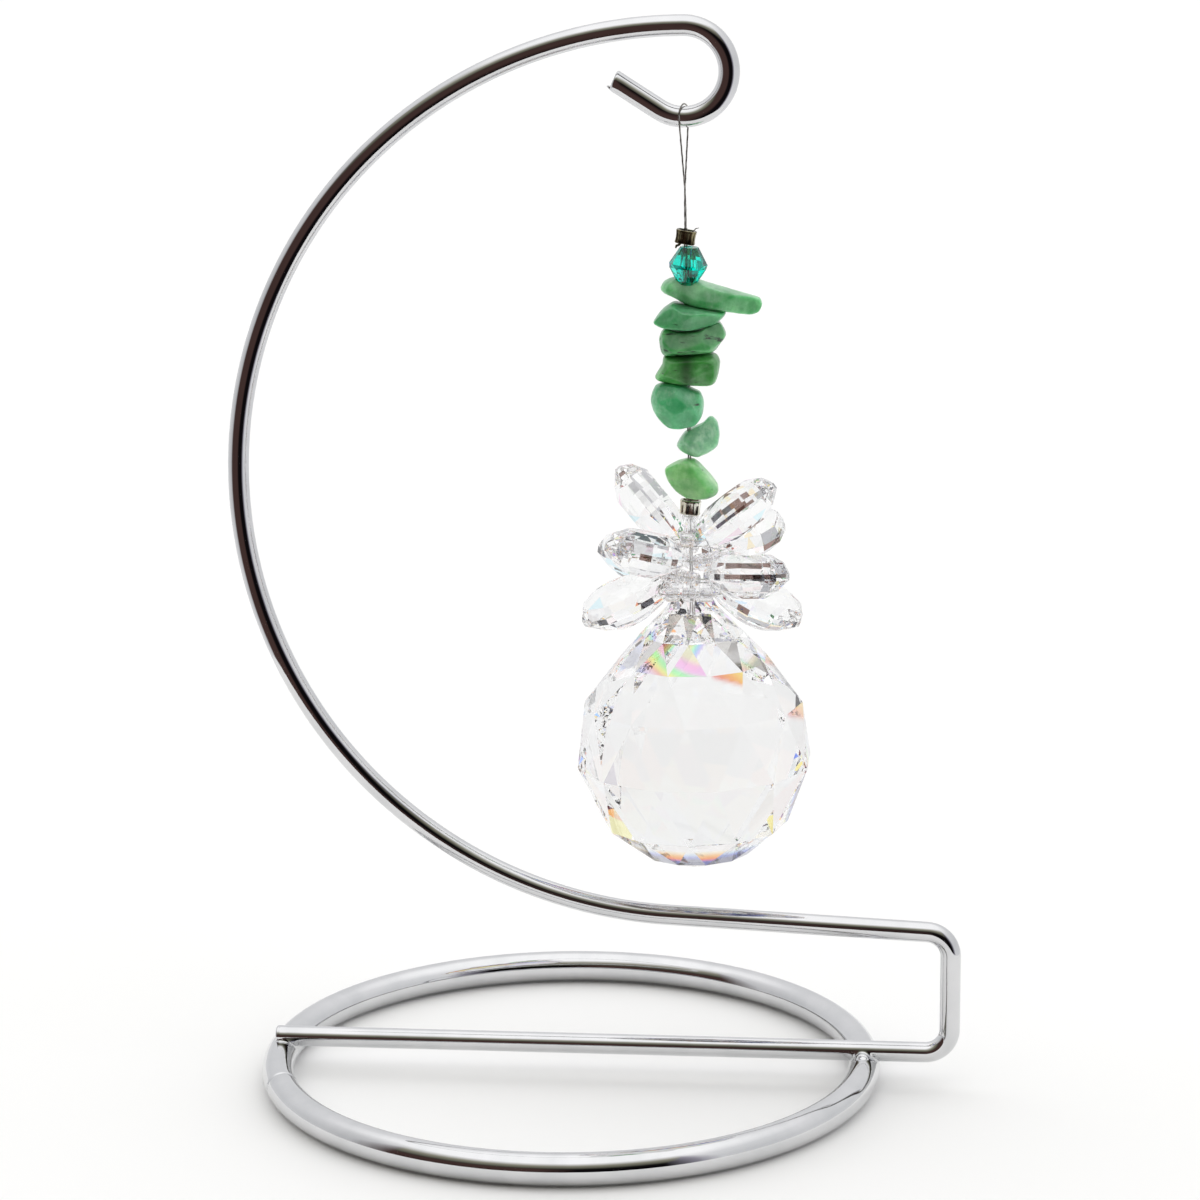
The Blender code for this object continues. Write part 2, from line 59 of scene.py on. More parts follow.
RING_RADIUS = (ring_high.x - ring_low.x) / 2 - RING_WIRE_RADIUS
ARM_RADIUS = arm_high.y
CHORD_HEIGHT = 0.004425
CHORD_OVERHANG = 0.0007
UPRIGHT_X = arm_high.x - stand_x - ARM_RADIUS - 0.00001  # just inside the solid's facets
BEND_RADIUS = 0.0032
RETURN_HEIGHT = 0.0222
RETURN_SLOPE = math.radians(2.2)
ARC_CENTRE_X = 0.0153
ARC_RADIUS = 0.05708
HOOK_RADIUS = 0.0056
HOOK_START = math.radians(90.4)
HOOK_TIP_RISE = math.radians(32.6)
HOOK_TIP_LENGTH = 0.0067
ARM_EDGE = 0.0003  # rounding of the wire's cut ends
TIP_SLANT = 0.16  # how far the hook's cut leans
BURR = ((0, 0, 0.00034), (0.0005, 0.00006, 0.00024), (0.0009, 0.0001, 0.00005))  # ahead, aside and radius

# String
STRAND_RADIUS = 0.00010
STRAND_SPREAD = 0.00014
STRAND_DEPTH = 0.0036  # how far the string goes into the ball's lug
STRING_LEAN = math.radians(0.86)
LOOP_TURN = math.radians(18)
LOOP_CLEARANCE = 0.00008  # between the loop and the hook
STRANDS_CROSS = 0.1164  # the height where one strand passes behind the other
LAY_LENGTH = 0.0013  # one turn of the twisted wires
LAY_DEPTH = 0.13  # how far the twist shows in the outline, beside the strand's radius

# Stone chips. Each outline is what the camera sees, in millimetres across and up from the string at the
# chip's mid height.
CHIP_OUTLINES = {
    1: ((-3.3, 1.2), (-2.9, 1.9), (-1.7, 2.4), (0.4, 2.4), (3.4, 1.5), (6.6, 0.7), (8.9, 0.2), (9.3, -0.6),
        (8.9, -1.5), (7.8, -1.8), (4.9, -1.5), (2.4, -1.3), (0.4, -0.9), (-1.6, 0.1), (-3.0, 0.7)),
    2: ((-4.2, -0.4), (-3.9, 0.2), (-2.9, 1.3), (-1.8, 2.0), (-0.5, 1.8), (2.3, 1.4), (4.8, 0.9),
        (4.1, -0.1), (3.6, -0.4), (1.6, -1.0), (0.1, -1.2), (-1.6, -1.1), (-3.2, -0.9)),
    3: ((-3.2, 1.0), (-2.7, 1.3), (-0.9, 1.1), (1.6, 1.3), (2.8, 1.9), (3.7, 2.1), (4.2, 1.9), (4.8, 0.8),
        (4.7, 0.3), (4.1, -0.5), (3.4, -1.3), (1.6, -1.5), (-0.9, -1.7), (-2.8, -1.8), (-3.3, -1.3),
        (-3.5, 0.1)),
    4: ((-2.9, 1.4), (-1.0, 1.6), (2.2, 1.8), (3.6, 1.4), (4.0, 0.6), (3.8, -0.8), (3.4, -1.8), (2.7, -2.1),
        (0.2, -2.1), (-2.7, -1.8), (-3.8, -1.5), (-4.1, -1.1), (-3.7, -0.4), (-3.2, 0.4)),
    5: ((-4.5, 1.5), (-4.1, 2.3), (-3.0, 2.7), (-1.6, 2.7), (-0.4, 2.4), (0.5, 1.9), (1.5, 1.4),
        (1.9, 0.3), (1.8, -1.1), (1.4, -2.1), (0.7, -2.8), (-1.0, -3.2), (-2.5, -3.0), (-3.7, -1.9),
        (-4.4, -0.8), (-4.7, 0.5)),
    6: ((0.2, 1.2), (1.6, 1.8), (2.4, 2.6), (2.9, 2.6), (3.5, 1.9), (3.8, 0.3), (3.5, -1.0), (2.4, -1.9),
        (1.1, -2.5), (0.1, -2.3), (-1.1, -1.7), (-1.6, -1.0), (-1.3, -0.3), (-0.7, 0.6)),
    7: ((-3.1, 1.0), (-2.9, 1.5), (-1.6, 2.2), (-0.2, 2.5), (0.5, 2.4), (1.3, 1.9), (2.5, 0.6), (3.5, -0.8),
        (3.6, -1.6), (3.2, -2.1), (2.2, -2.5), (0.8, -2.6), (-0.4, -2.4), (-1.7, -1.5), (-2.7, -0.2)),
}
CHIP_SLICES = ((0.15, 1.0), (0.45, 0.965), (0.72, 0.87), (0.92, 0.70), (1.0, 0.56))  # shares of depth, size
CHIP_STRETCH = 1.07  # makes up, on the chips that touch, for the height lost when the edges are worn round
TOUCHING_CHIPS = (1, 2, 3, 4)
CHIP_FLATS = 6  # flat places worn on each chip
CHIP_VOXEL = 0.00011
DENT_DEPTH = 0.00007
DENT_SCALE = 420
GRAIN_DEPTH = 0.000015
GRAIN_SCALE = 1700
PIT_DEPTH = 0.0002
PIT_SCALE = 900
PIT_START = 0.45  # how high the noise has to be for a pit
CHIP_CORE_SHADE_RADIUS = 0.0016  # how far round the string the painted shade reaches

# Chip finishes: light and deep green, how dark the painted shade round the string's bore is, and how many
# flecks and veils
CHIP_FINISHES = {
    1: ((0.28, 0.62, 0.33), (0.065, 0.32, 0.11), 0.75, 0.3, 0.3),
    2: ((0.17, 0.50, 0.25), (0.040, 0.27, 0.09), 0.80, 0.6, 0.15),
    3: ((0.16, 0.46, 0.19), (0.040, 0.24, 0.07), 0.75, 1.7, 0.15),
    4: ((0.13, 0.44, 0.13), (0.022, 0.21, 0.022), 0.35, 1.1, 0.15),
    5: ((0.18, 0.59, 0.31), (0.050, 0.36, 0.14), 0.92, 0.4, 0.6),
    6: ((0.42, 0.72, 0.48), (0.13, 0.40, 0.21), 0.95, 0.4, 1.0),
    7: ((0.46, 0.78, 0.38), (0.15, 0.50, 0.15), 0.92, 0.4, 0.4),
}

# Petals, as in the frame
PETAL_LENGTH = 0.0122
PETAL_WIDTH = 0.0086
PETAL_THICKNESS = 0.0054
PETAL_GIRDLE = 0.0008
PETAL_END_WIDTH = 0.0026
PETAL_SKEW = 1.16
PETAL_FULLNESS = 0.8
PETAL_BORE_INSET = 0.0016
PETAL_SHARES = (0, 0.20, 0.46, 0.72, 0.93)  # corners of the girdle along the length
PETAL_TABLE = (0.56, 0.40)  # the size of the flat on either face, beside the outline
PETAL_HEART = 0.56  # the middle of those flats along the length
PETAL_SHOULDER = (0.30, 0.33)  # the ring of corners outside them: how much wider, and its share of thickness
GIRDLE_LEAN = 0.2  # the girdle's facets are those whose normals rise less than this
GLINT_SHARE = 0.06  # the share of the other facets with painted glints
WHITE = (1, 1, 1)
# Painted reflections for the girdle's facets: black, brown and grey for the dark room, and white
GIRDLE_PAINTED_REFLECTIONS = (
    (0.02, 0.02, 0.025), (0.10, 0.05, 0.04), (0.30, 0.30, 0.32), (0.8, 0.8, 0.8), *[WHITE] * 4,
)
# Painted glints for a few other facets: grey reflections and coloured flashes of split light
GLINTS = (
    (0.30, 0.30, 0.33), (0.62, 0.90, 1.0), (1.0, 0.80, 0.45), (0.95, 0.70, 0.85), (0.45, 0.45, 0.47),
    (0.6, 0.6, 0.62),
)
TIER_LOOP_DEPTH = 0.0068
TIER_LOOP_STEPS = 72
TIER_WIRE_RADIUS = 0.0001
SMALL_BEAD_RADIUS = 0.0009
SMALL_BEAD_LENGTH = 0.0018
SMALL_BEAD_BORE = 0.0003
SMALL_BEAD_EDGE = 0.00035
SMALL_BEAD_LIP = 0.0001  # how far the bore's rims lie inside the bead's ends
SMALL_BEAD_GAP = 0.0003
TIERS = (
    {"height": 0.0068, "turn": 0, "insets": (0.0015, 0.0008), "rises": (51, 38), "rolls": (12, -12)},
    {"height": 0.0049, "turn": 46, "insets": (0.0015, 0.0030), "rises": (15, 13), "rolls": (-4, 10)},
    {"height": 0.0031, "turn": -39, "insets": (0.0030, 0.0033), "rises": (4, 8), "rolls": (8, -8)},
    {"height": 0.0015, "turn": 0, "insets": (0.0026, 0.0025), "rises": (-24, -22), "rolls": (-10, 8)},
)

# Ball, as in the frame
BALL_CENTRE_HEIGHT = 0.044625
BALL_RADIUS = 0.0152
LUG_TOP_RISE = 0.02004
BALL_SIDES = 12
LUG_ROWS = ((0.0024, 0.02004), (0.0034, 0.01836))
SHOULDER_SHARES = ((0.24, 1.200), (0.433, 1.000))
BALL_LATITUDES = (51, 24, -6, -39, -63, -79)

# Facets that flash colour: painted rainbows stand in for split light, and painted dark colours for
# reflections of the room. The ramps give the colours along a facet, and FIRE_FACETS gives the facets: their
# row, how their colours run, the colours' strength, and the facets' turns from the front in degrees.
FIRE_CUTS = 14
FIRE_HEART = Vector((0.0186, 0, 0.0625))  # the middle of the painted rainbow's arcs across the front
FIRE_ARC = (
    (0.0050, (0.86, 0.92, 0.50)), (0.0064, (0.92, 0.84, 0.46)), (0.0072, (1.0, 0.36, 0.80)),
    (0.0080, (1.0, 0.42, 0.92)), (0.0086, (0.22, 1.0, 0.32)), (0.0091, (0.36, 1.0, 0.24)),
    (0.0096, (1.0, 0.96, 0.16)), (0.0101, (1.0, 0.36, 0.24)), (0.0108, (0.94, 0.66, 0.90)),
    (0.0116, (0.44, 0.50, 1.0)), (0.0125, (0.34, 0.34, 0.60)),
)
FIRE_BLEND = (
    (0.0, (0.10, 0.03, 0.05)), (0.12, (0.85, 0.03, 0.08)), (0.30, (1.0, 0.28, 0.04)),
    (0.48, (1.0, 0.90, 0.10)), (0.62, (0.22, 1.0, 0.34)), (0.76, (0.16, 0.42, 1.0)),
    (0.90, (0.66, 0.42, 1.0)), (1.0, WHITE),
)
# Painted reflections of the dark room, some with coloured fringes standing in for split light
RAMPS = {
    "navy": ((0.0, (0.02, 0.025, 0.10)), (0.30, (0.03, 0.03, 0.13)), (0.44, (0.10, 0.14, 0.75)),
             (0.56, (0.50, 0.70, 1.0)), (0.68, WHITE)),
    "ember": ((0.0, (0.03, 0.03, 0.16)), (0.22, (0.05, 0.06, 0.35)), (0.32, (0.90, 0.10, 0.02)),
              (0.50, (1.0, 0.42, 0.10)), (0.64, (1.0, 0.85, 0.55)), (0.74, WHITE)),
    "bronze": ((0.0, (0.07, 0.05, 0.045)), (0.42, (0.16, 0.13, 0.11)), (0.52, (0.70, 0.48, 0.22)),
               (0.62, WHITE)),
    "smoke": ((0.0, (0.28, 0.24, 0.20)), (0.8, (0.34, 0.30, 0.26)), (1.2, (0.42, 0.38, 0.34))),
}
FIRE_FACETS = (
    (2, "cool_corner", 0.8, (-45,)), (2, "smoke", 0.9, (0,)), (2, "smoke", 1.0, (-30, 30)),
    (2, "warm_corner", 0.6, (-75,)), (3, "arc", 1.0, (-30, 0)), (3, "arc_far", 0.8, (150,)),
    (3, "arc_far", 0.9, (-120, 120)), (3, "cool_corner", 0.7, (-75,)), (3, "cool_corner", 0.8, (90,)),
    (3, "cool_corner", 0.9, (15,)), (3, "smoke", 0.5, (-45,)), (3, "smoke", 0.6, (45,)),
    (3, "warm_corner", 0.6, (60,)), (3, "warm_corner", 0.8, (180,)), (3, "warm_corner", 1.0, (-15,)),
    (4, "sliver", 0.7, (-90,)), (4, "sliver", 0.8, (90, 165)), (4, "sliver", 1.0, (30,)),
    (5, "navy", 0.8, (-90,)), (5, "sliver", 0.8, (75,)), (5, "warm_corner", 0.8, (90,)),
    (6, "cool_corner", 0.7, (-75,)), (6, "cool_corner", 0.8, (-90,)), (6, "navy_edge", 0.9, (75,)),
    (7, "bronze", 0.9, (-150, 120)), (7, "bronze", 1.0, (-60,)), (7, "bronze_tip", 0.9, (-75, -45)),
    (7, "ember", 0.8, (180,)), (7, "ember_tip", 1.0, (-15, 15)), (7, "navy", 0.8, (-30, 0, 90)),
    (7, "navy", 0.9, (-120, 30, 150)), (7, "navy", 1.0, (60,)), (7, "navy_tip", 1.0, (45, 75)),
    (8, "bronze", 1.0, (-60, -45, -30, 0, 30)), (8, "navy", 1.0, (-15, 15, 45, 60)),
)

arc_centre = Vector((ARC_CENTRE_X, 0, RETURN_HEIGHT + ARC_RADIUS))
hook_direction = Vector((math.cos(HOOK_START), 0, math.sin(HOOK_START)))
hook_centre = arc_centre + (ARC_RADIUS - HOOK_RADIUS) * hook_direction
hook_bottom = hook_centre - Vector((0, 0, HOOK_RADIUS))

loop_half_width = (ARM_RADIUS + STRAND_RADIUS + LOOP_CLEARANCE) / math.cos(LOOP_TURN)
loop_across = Vector((-math.sin(LOOP_TURN), -math.cos(LOOP_TURN), 0))


def on_string(height):
    """The point of the string's line at this height."""
    return Vector((hook_bottom.x + (hook_bottom.z - height) * math.tan(STRING_LEAN), 0, height))


def middle_height(node):
    low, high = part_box(node)
    return (low.z + high.z) / 2


# Finishes


class Nodes:
    """A node tree, with short ways to add the nodes that the finishes and the studio are made of."""

    def __init__(self, tree):
        self.tree = tree

    def put(self, value, socket):
        """Gives an input its value, or links another node's output to it."""
        if isinstance(value, bpy.types.NodeSocket):
            self.tree.links.new(value, socket)
        else:
            socket.default_value = value

    def add(self, kind, inputs=(), **settings):
        """A new node. inputs are pairs of an input's name or number and what goes in it."""
        node = self.tree.nodes.new("ShaderNode" + kind)
        for key, value in settings.items():
            setattr(node, key, value)
        for key, value in inputs:
            self.put(value, node.inputs[key])
        return node

    def ramp(self, value, stops):
        """The colour of a value on a ramp of (place, colour) stops."""
        node = self.add("ValToRGB", [("Fac", value)])
        elements = node.color_ramp.elements
        while len(elements) < len(stops):
            elements.new(0.5)
        for element, (place, colour) in zip(elements, stops):
            element.position = place
            element.color = (*colour, 1)
        return node.outputs["Color"]

    def span(self, value, low, high, to_low=0, to_high=1, kind="LINEAR"):
        """A value moved from one range to another."""
        limits = {"From Min": low, "From Max": high, "To Min": to_low, "To Max": to_high}
        inputs = [("Value", value), *limits.items()]
        return self.add("MapRange", inputs, interpolation_type=kind).outputs["Result"]

    def math(self, kind, *values):
        return self.add("Math", enumerate(values), operation=kind).outputs[0]

    def mix(self, a, b, factor=1.0, kind="MIX"):
        """Two colours mixed."""
        inputs = ("Factor", factor), ("A", a), ("B", b)
        return self.add("Mix", inputs, data_type="RGBA", blend_type=kind).outputs["Result"]

    def parts(self, space):
        """The X, Y and Z of each place, in these coordinates."""
        return self.add("SeparateXYZ", [("Vector", self.add("TexCoord").outputs[space])]).outputs

    def noise(self, scale, detail, roughness=0.5, stretch=(1, 1, 1)):
        """A noise in the object's own coordinates, in metres."""
        place = self.add("TexCoord").outputs["Object"]
        place = self.add("Mapping", [("Vector", place), ("Scale", stretch)]).outputs["Vector"]
        inputs = {"Vector": place, "Scale": scale, "Detail": detail, "Roughness": roughness}
        return self.add("TexNoise", inputs.items()).outputs["Fac"]

    def bump(self, surface, height, strength, distance):
        inputs = ("Strength", strength), ("Distance", distance), ("Height", height)
        self.put(self.add("Bump", inputs).outputs["Normal"], surface["Normal"])


def node_material(name, values):
    """A new material, its shader's inputs with these values, and its nodes."""
    made = bpy.data.materials.new(name)
    made.use_nodes = True
    surface = made.node_tree.nodes["Principled BSDF"].inputs
    for key, value in values.items():
        surface[key].default_value = value
    return made, surface, Nodes(made.node_tree)


def chrome_look():
    """Bright plate over drawn wire: nearly a mirror, with faint waves and a few specks."""
    made, surface, nodes = node_material("chrome_plate", {"Metallic": 1.0})
    tint = nodes.ramp(nodes.noise(180, 3), ((0.35, (0.64, 0.645, 0.655)), (0.65, (0.70, 0.70, 0.71))))
    nodes.put(tint, surface["Base Color"])
    nodes.put(nodes.span(nodes.noise(900, 4), 0.4, 0.75, 0.035, 0.11), surface["Roughness"])
    nodes.bump(surface, nodes.noise(260, 2), 0.10, 0.0002)
    return made


def steel_look(name, dark, light, roughness, scale):
    """Bare or tarnished metal, uneven in colour and gloss."""
    made, surface, nodes = node_material(name, {"Metallic": 1.0})
    pattern = nodes.noise(scale, 4)
    nodes.put(nodes.ramp(pattern, ((0.38, dark), (0.64, light))), surface["Base Color"])
    nodes.put(nodes.span(pattern, 0, 1, roughness * 0.7, roughness * 1.4), surface["Roughness"])
    nodes.bump(surface, pattern, 0.4, 0.00005)
    return made


def string_look():
    """Fine steel wire, grey and tarnished above the lower crimp and bright between the crystals."""
    made = steel_look("string_steel", (0.16, 0.15, 0.135), (0.50, 0.48, 0.45), 0.32, 1800)
    colour = made.node_tree.nodes["Principled BSDF"].inputs["Base Color"]
    nodes = Nodes(made.node_tree)
    low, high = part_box("lower_crimp")
    tarnish = nodes.span(nodes.parts("Object")["Z"], low.z, high.z)
    nodes.put(nodes.mix((0.80, 0.80, 0.80, 1), colour.links[0].from_socket, tarnish), colour)
    return made


def crystal_look(name, colour, ior, fire=False, glare=0.5):
    """Cut and polished crystal. Its faces are very slightly wavy, and some of them flash colour: painted
    colours that stand in for split light and for reflections.
    """
    made, surface, nodes = node_material(name, {
        "Base Color": (*colour, 1),
        "Transmission Weight": 1.0,
        "Roughness": 0.0,
        "IOR": ior,
        "Specular IOR Level": glare,
    })
    if fire:
        # Painted light: this colour layer holds painted rainbows and painted reflections, multiplied into
        # the base colour
        flash = nodes.add("Attribute", attribute_name="fire").outputs["Color"]
        nodes.put(nodes.mix(flash, (*colour, 1), kind="MULTIPLY"), surface["Base Color"])
    nodes.bump(surface, nodes.noise(240, 1), 0.05, 0.0001)
    return made


def stone_look(number):
    """Green aventurine: cloudy and a little see-through, with veils, dark flecks and painted shade round the
    string's bore, where the stone is thickest.
    """
    light, deep, core, flecks, veils = CHIP_FINISHES[number]
    made, surface, nodes = node_material(f"green_stone_{number}", {
        "Subsurface Weight": 1.0,
        "Subsurface Radius": (0.6, 1.0, 0.7),
        "Subsurface Scale": 0.0022,
        "Roughness": 0.34,
        "IOR": 1.55,
        "Coat Weight": 0.35,
        "Coat Roughness": 0.12,
    })
    middle = tuple((a + 2 * b) / 3 for a, b in zip(light, deep))
    clouds = nodes.noise(240 + 17 * number, 5, 0.62)
    green = nodes.ramp(clouds, ((0.36, deep), (0.50, middle), (0.66, light)))
    streaks = nodes.noise(560, 3, 0.6, (0.7, 1, 2.4))
    more = 0.08 * flecks
    specks = nodes.ramp(streaks, ((0.22 + more, (0.03, 0.06, 0.03)), (0.30 + more, (1, 1, 1))))
    flecked = nodes.mix(green, specks, kind="MULTIPLY")
    veil = nodes.span(nodes.noise(330, 4, 0.7, (1, 1, 0.5)), 0.52, 0.70, 0, 0.55 * veils)
    veiled = nodes.mix(flecked, (0.74, 0.90, 0.78, 1), veil)
    # Painted shade: darker round the string, where light gets through less of the stone
    string_x = on_string(middle_height(f"stone_chip_{number}")).x + stand_x
    away = nodes.math("ABSOLUTE", nodes.math("SUBTRACT", nodes.parts("Object")["X"], string_x))
    painted_core_shade = nodes.span(away, 0, CHIP_CORE_SHADE_RADIUS, core, 1, "SMOOTHSTEP")
    nodes.put(nodes.mix(veiled, painted_core_shade, kind="MULTIPLY"), surface["Base Color"])
    nodes.bump(surface, streaks, 0.25, 0.0001)
    return made


# Shapes


TO_MODEL = Matrix.Translation((stand_x, 0, 0))  # from the stand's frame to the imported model's


def add_object(name, data, matrix=Matrix()):
    made = bpy.data.objects.new(name, data)
    bpy.context.scene.collection.objects.link(made)
    made.matrix_world = matrix
    return made


def mesh_of(name, made):
    """The mesh that a bmesh has come to."""
    mesh = bpy.data.meshes.new(name)
    made.to_mesh(mesh)
    made.free()
    return mesh


def shade(mesh, smooth):
    mesh.polygons.foreach_set("use_smooth", [smooth] * len(mesh.polygons))


def add_piece(name, mesh, look, nodes, place=Matrix(), to_model=TO_MODEL):
    """A piece of the object: it rides on the one body and stands for these nodes of the frame."""
    made = add_object(name, mesh, to_model @ place)
    mesh.materials.clear()
    mesh.materials.append(look)
    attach(made, "root")
    if nodes:
        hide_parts(*nodes)


def mesh_from(name, points, faces):
    """A smooth mesh with its faces turned outward."""
    mesh = bpy.data.meshes.new(name)
    mesh.from_pydata([tuple(point) for point in points], [], faces)
    made = bmesh.new()
    made.from_mesh(mesh)
    bmesh.ops.recalc_face_normals(made, faces=made.faces)
    made.to_mesh(mesh)
    made.free()
    shade(mesh, True)
    return mesh


def turns(count, phase=0):
    """The angles of so many even steps round a circle."""
    return [2 * math.pi * (step + phase) / count for step in range(count)]


def round_point(radius, angle, height):
    return Vector((radius * math.cos(angle), radius * math.sin(angle), height))


def blunt(angle, power):
    """A point of a loop that is more of a rectangle than a circle."""
    return [math.copysign(abs(share) ** power, share) for share in (math.cos(angle), math.sin(angle))]


def tube_rows(points, radii, sides, closed=False):
    """Rows of corners round a line. The rows turn as little as the line lets them."""
    count = len(points)
    rows = []
    across = None
    for index, point in enumerate(points):
        before = points[index - 1] if index or closed else point
        after = points[(index + 1) % count] if index + 1 < count or closed else point
        along = (after - before).normalized()
        if across is None:
            across = along.orthogonal() if abs(along.y) > 0.9 else along.cross(Vector((0, 1, 0)))
        across = (across - along * across.dot(along)).normalized()
        other = along.cross(across)
        ring = (across * math.cos(angle) + other * math.sin(angle) for angle in turns(sides))
        rows.append([point + outward * radii[index] for outward in ring])
    return rows


def mesh_of_rows(name, rows, closed=False):
    """A skin over rows of corners, its ends capped unless it closes on itself."""
    sides = len(rows[0])
    points = [point for row in rows for point in row]
    faces = []
    for row in range(len(rows) if closed else len(rows) - 1):
        here = row * sides
        there = (row + 1) % len(rows) * sides
        for step in range(sides):
            following = (step + 1) % sides
            faces.append((here + step, here + following, there + following, there + step))
    if not closed:
        faces.append(tuple(range(sides))[::-1])
        faces.append(tuple(len(points) - sides + step for step in range(sides)))
    return mesh_from(name, points, faces)


def rounded_ends(points, radius, edge, steps=4):
    """Points and radii of a wire whose cut ends have a small rounded edge."""
    first = (points[1] - points[0]).normalized()
    last = (points[-1] - points[-2]).normalized()
    start = []
    for index in range(steps + 1):
        angle = math.pi / 2 * index / steps
        start.append((edge * (1 - math.cos(angle)), radius - edge * (1 - math.sin(angle))))
    route = [(points[0] + first * inset, size) for inset, size in start]
    route += [(point, radius) for point in points[1:-1]]
    route += [(points[-1] - last * inset, size) for inset, size in start[::-1]]
    return [point for point, _ in route], [size for _, size in route]


def arc(centre, radius, start, end, steps):
    """Points on an arc in the plane that the stand's arm lies in, its ends included."""
    angles = (start + (end - start) * index / steps for index in range(steps + 1))
    return [centre + radius * Vector((math.cos(angle), 0, math.sin(angle))) for angle in angles]


def line(start, end, steps):
    """Points on a straight line, its ends left out."""
    return [start.lerp(end, index / steps) for index in range(1, steps)]


def arm_route():
    """The centre line of the arm's wire, from the free end of its chord to the tip of its hook."""
    up = math.pi / 2
    down = -math.pi / 2
    lower_bend = Vector((UPRIGHT_X - BEND_RADIUS, 0, CHORD_HEIGHT + BEND_RADIUS))
    bar_end = arc(arc_centre, ARC_RADIUS, down - RETURN_SLOPE, down - RETURN_SLOPE, 1)[0]
    bar_height_at_upright = bar_end.z - (UPRIGHT_X - bar_end.x) * math.tan(RETURN_SLOPE)
    bend_drop = BEND_RADIUS * math.tan((up + RETURN_SLOPE) / 2)
    upper_bend = Vector((UPRIGHT_X - BEND_RADIUS, 0, bar_height_at_upright - bend_drop))
    tip_direction = Vector((-math.cos(HOOK_TIP_RISE), 0, math.sin(HOOK_TIP_RISE)))
    route = [Vector((-RING_RADIUS - CHORD_OVERHANG, 0, CHORD_HEIGHT))]
    lower = arc(lower_bend, BEND_RADIUS, down, 0, 14)
    route += line(route[0], lower[0], 30) + lower
    upper = arc(upper_bend, BEND_RADIUS, 0, up - RETURN_SLOPE, 14)
    route += line(route[-1], upper[0], 6) + upper
    route += line(route[-1], bar_end, 14)
    route += arc(arc_centre, ARC_RADIUS, 2 * math.pi + down - RETURN_SLOPE, HOOK_START, 150)
    route += arc(hook_centre, HOOK_RADIUS, HOOK_START, down - HOOK_TIP_RISE, 48)[1:]
    tip = route[-1] + HOOK_TIP_LENGTH * tip_direction
    return route + line(route[-1], tip, 6) + [tip]


def make_arm():
    points, radii = rounded_ends(arm_route(), ARM_RADIUS, ARM_EDGE)
    rows = tube_rows(points, radii, 28)
    along = (points[-1] - points[-8]).normalized()
    sideways = along.cross(Vector((0, 1, 0)))
    for row, centre in zip(rows[-6:], points[-6:]):
        for index, corner in enumerate(row):
            row[index] = corner - along * (corner - centre).dot(sideways) * TIP_SLANT
    add_piece("bent_arm", mesh_of_rows("bent_arm", rows), chrome, ["wire_arm"])
    root = points[-1] + sideways * ARM_RADIUS * 0.72 - along * 0.0006
    burr = [root + along * ahead + sideways * aside for ahead, aside, _ in BURR]
    mesh = mesh_of_rows("hook_burr", tube_rows(burr, [radius for _, _, radius in BURR], 12))
    add_piece("hook_burr", mesh, chrome, [])


WELD_REACH = 0.0034
WELD_VOXEL = 0.00013
FLOOR_GAP = 0.00003
WELD_DROPS_LEFT = (((-0.0004, -0.0010, -0.0009), 0.0006), ((0.0006, -0.0013, -0.0010), 0.0006))
WELD_DROPS_RIGHT = (((-0.0002, -0.0016, -0.0009), 0.0011),)
SEAM_ANGLE = math.radians(200)
SEAM_HALF_WIDTH = 0.00022
SEAM_DEPTH = 0.00013


def ring_point(angle):
    """A point of the ring's centre line."""
    return round_point(RING_RADIUS, angle, RING_WIRE_RADIUS)


def make_ring():
    """The base ring. Its wire's ends meet in a fine seam beside the arm's free end."""
    angles = [SEAM_ANGLE + 2 * math.pi * index / 240 for index in range(1, 240)]
    seam = []
    for share, depth in ((-2, 0), (-1, 0.15), (-0.35, 1), (0.35, 1), (1, 0.15), (2, 0)):
        angle = SEAM_ANGLE + share * SEAM_HALF_WIDTH / RING_RADIUS
        seam.append((angle, RING_WIRE_RADIUS - depth * SEAM_DEPTH))
    stations = seam + [(angle, RING_WIRE_RADIUS) for angle in angles]
    rows = []
    for angle, radius in stations:
        outward = Vector((math.cos(angle), math.sin(angle), 0))
        ring = (outward * math.cos(turn) + Vector((0, 0, math.sin(turn))) for turn in turns(36))
        rows.append([ring_point(angle) + away * radius for away in ring])
    add_piece("ring", mesh_of_rows("ring", rows, closed=True), chrome, ["base_ring"])


def remeshed(name, mesh, voxel, smoothing):
    """One smooth skin over everything in this mesh."""
    made = add_object(name, mesh)
    grid = made.modifiers.new("Skin", "REMESH")
    grid.mode = "VOXEL"
    grid.voxel_size = voxel
    relax = made.modifiers.new("Relax", "SMOOTH")
    relax.factor = 0.5
    relax.iterations = smoothing
    graph = bpy.context.evaluated_depsgraph_get()
    result = bpy.data.meshes.new_from_object(made.evaluated_get(graph))
    result.name = name
    bpy.data.objects.remove(made)
    shade(result, True)
    return result


def eased(count, middle, end):
    """Sizes that rise from end to middle and fall again."""
    return [end + (middle - end) * math.sin(math.pi * index / (count - 1)) ** 0.5 for index in range(count)]


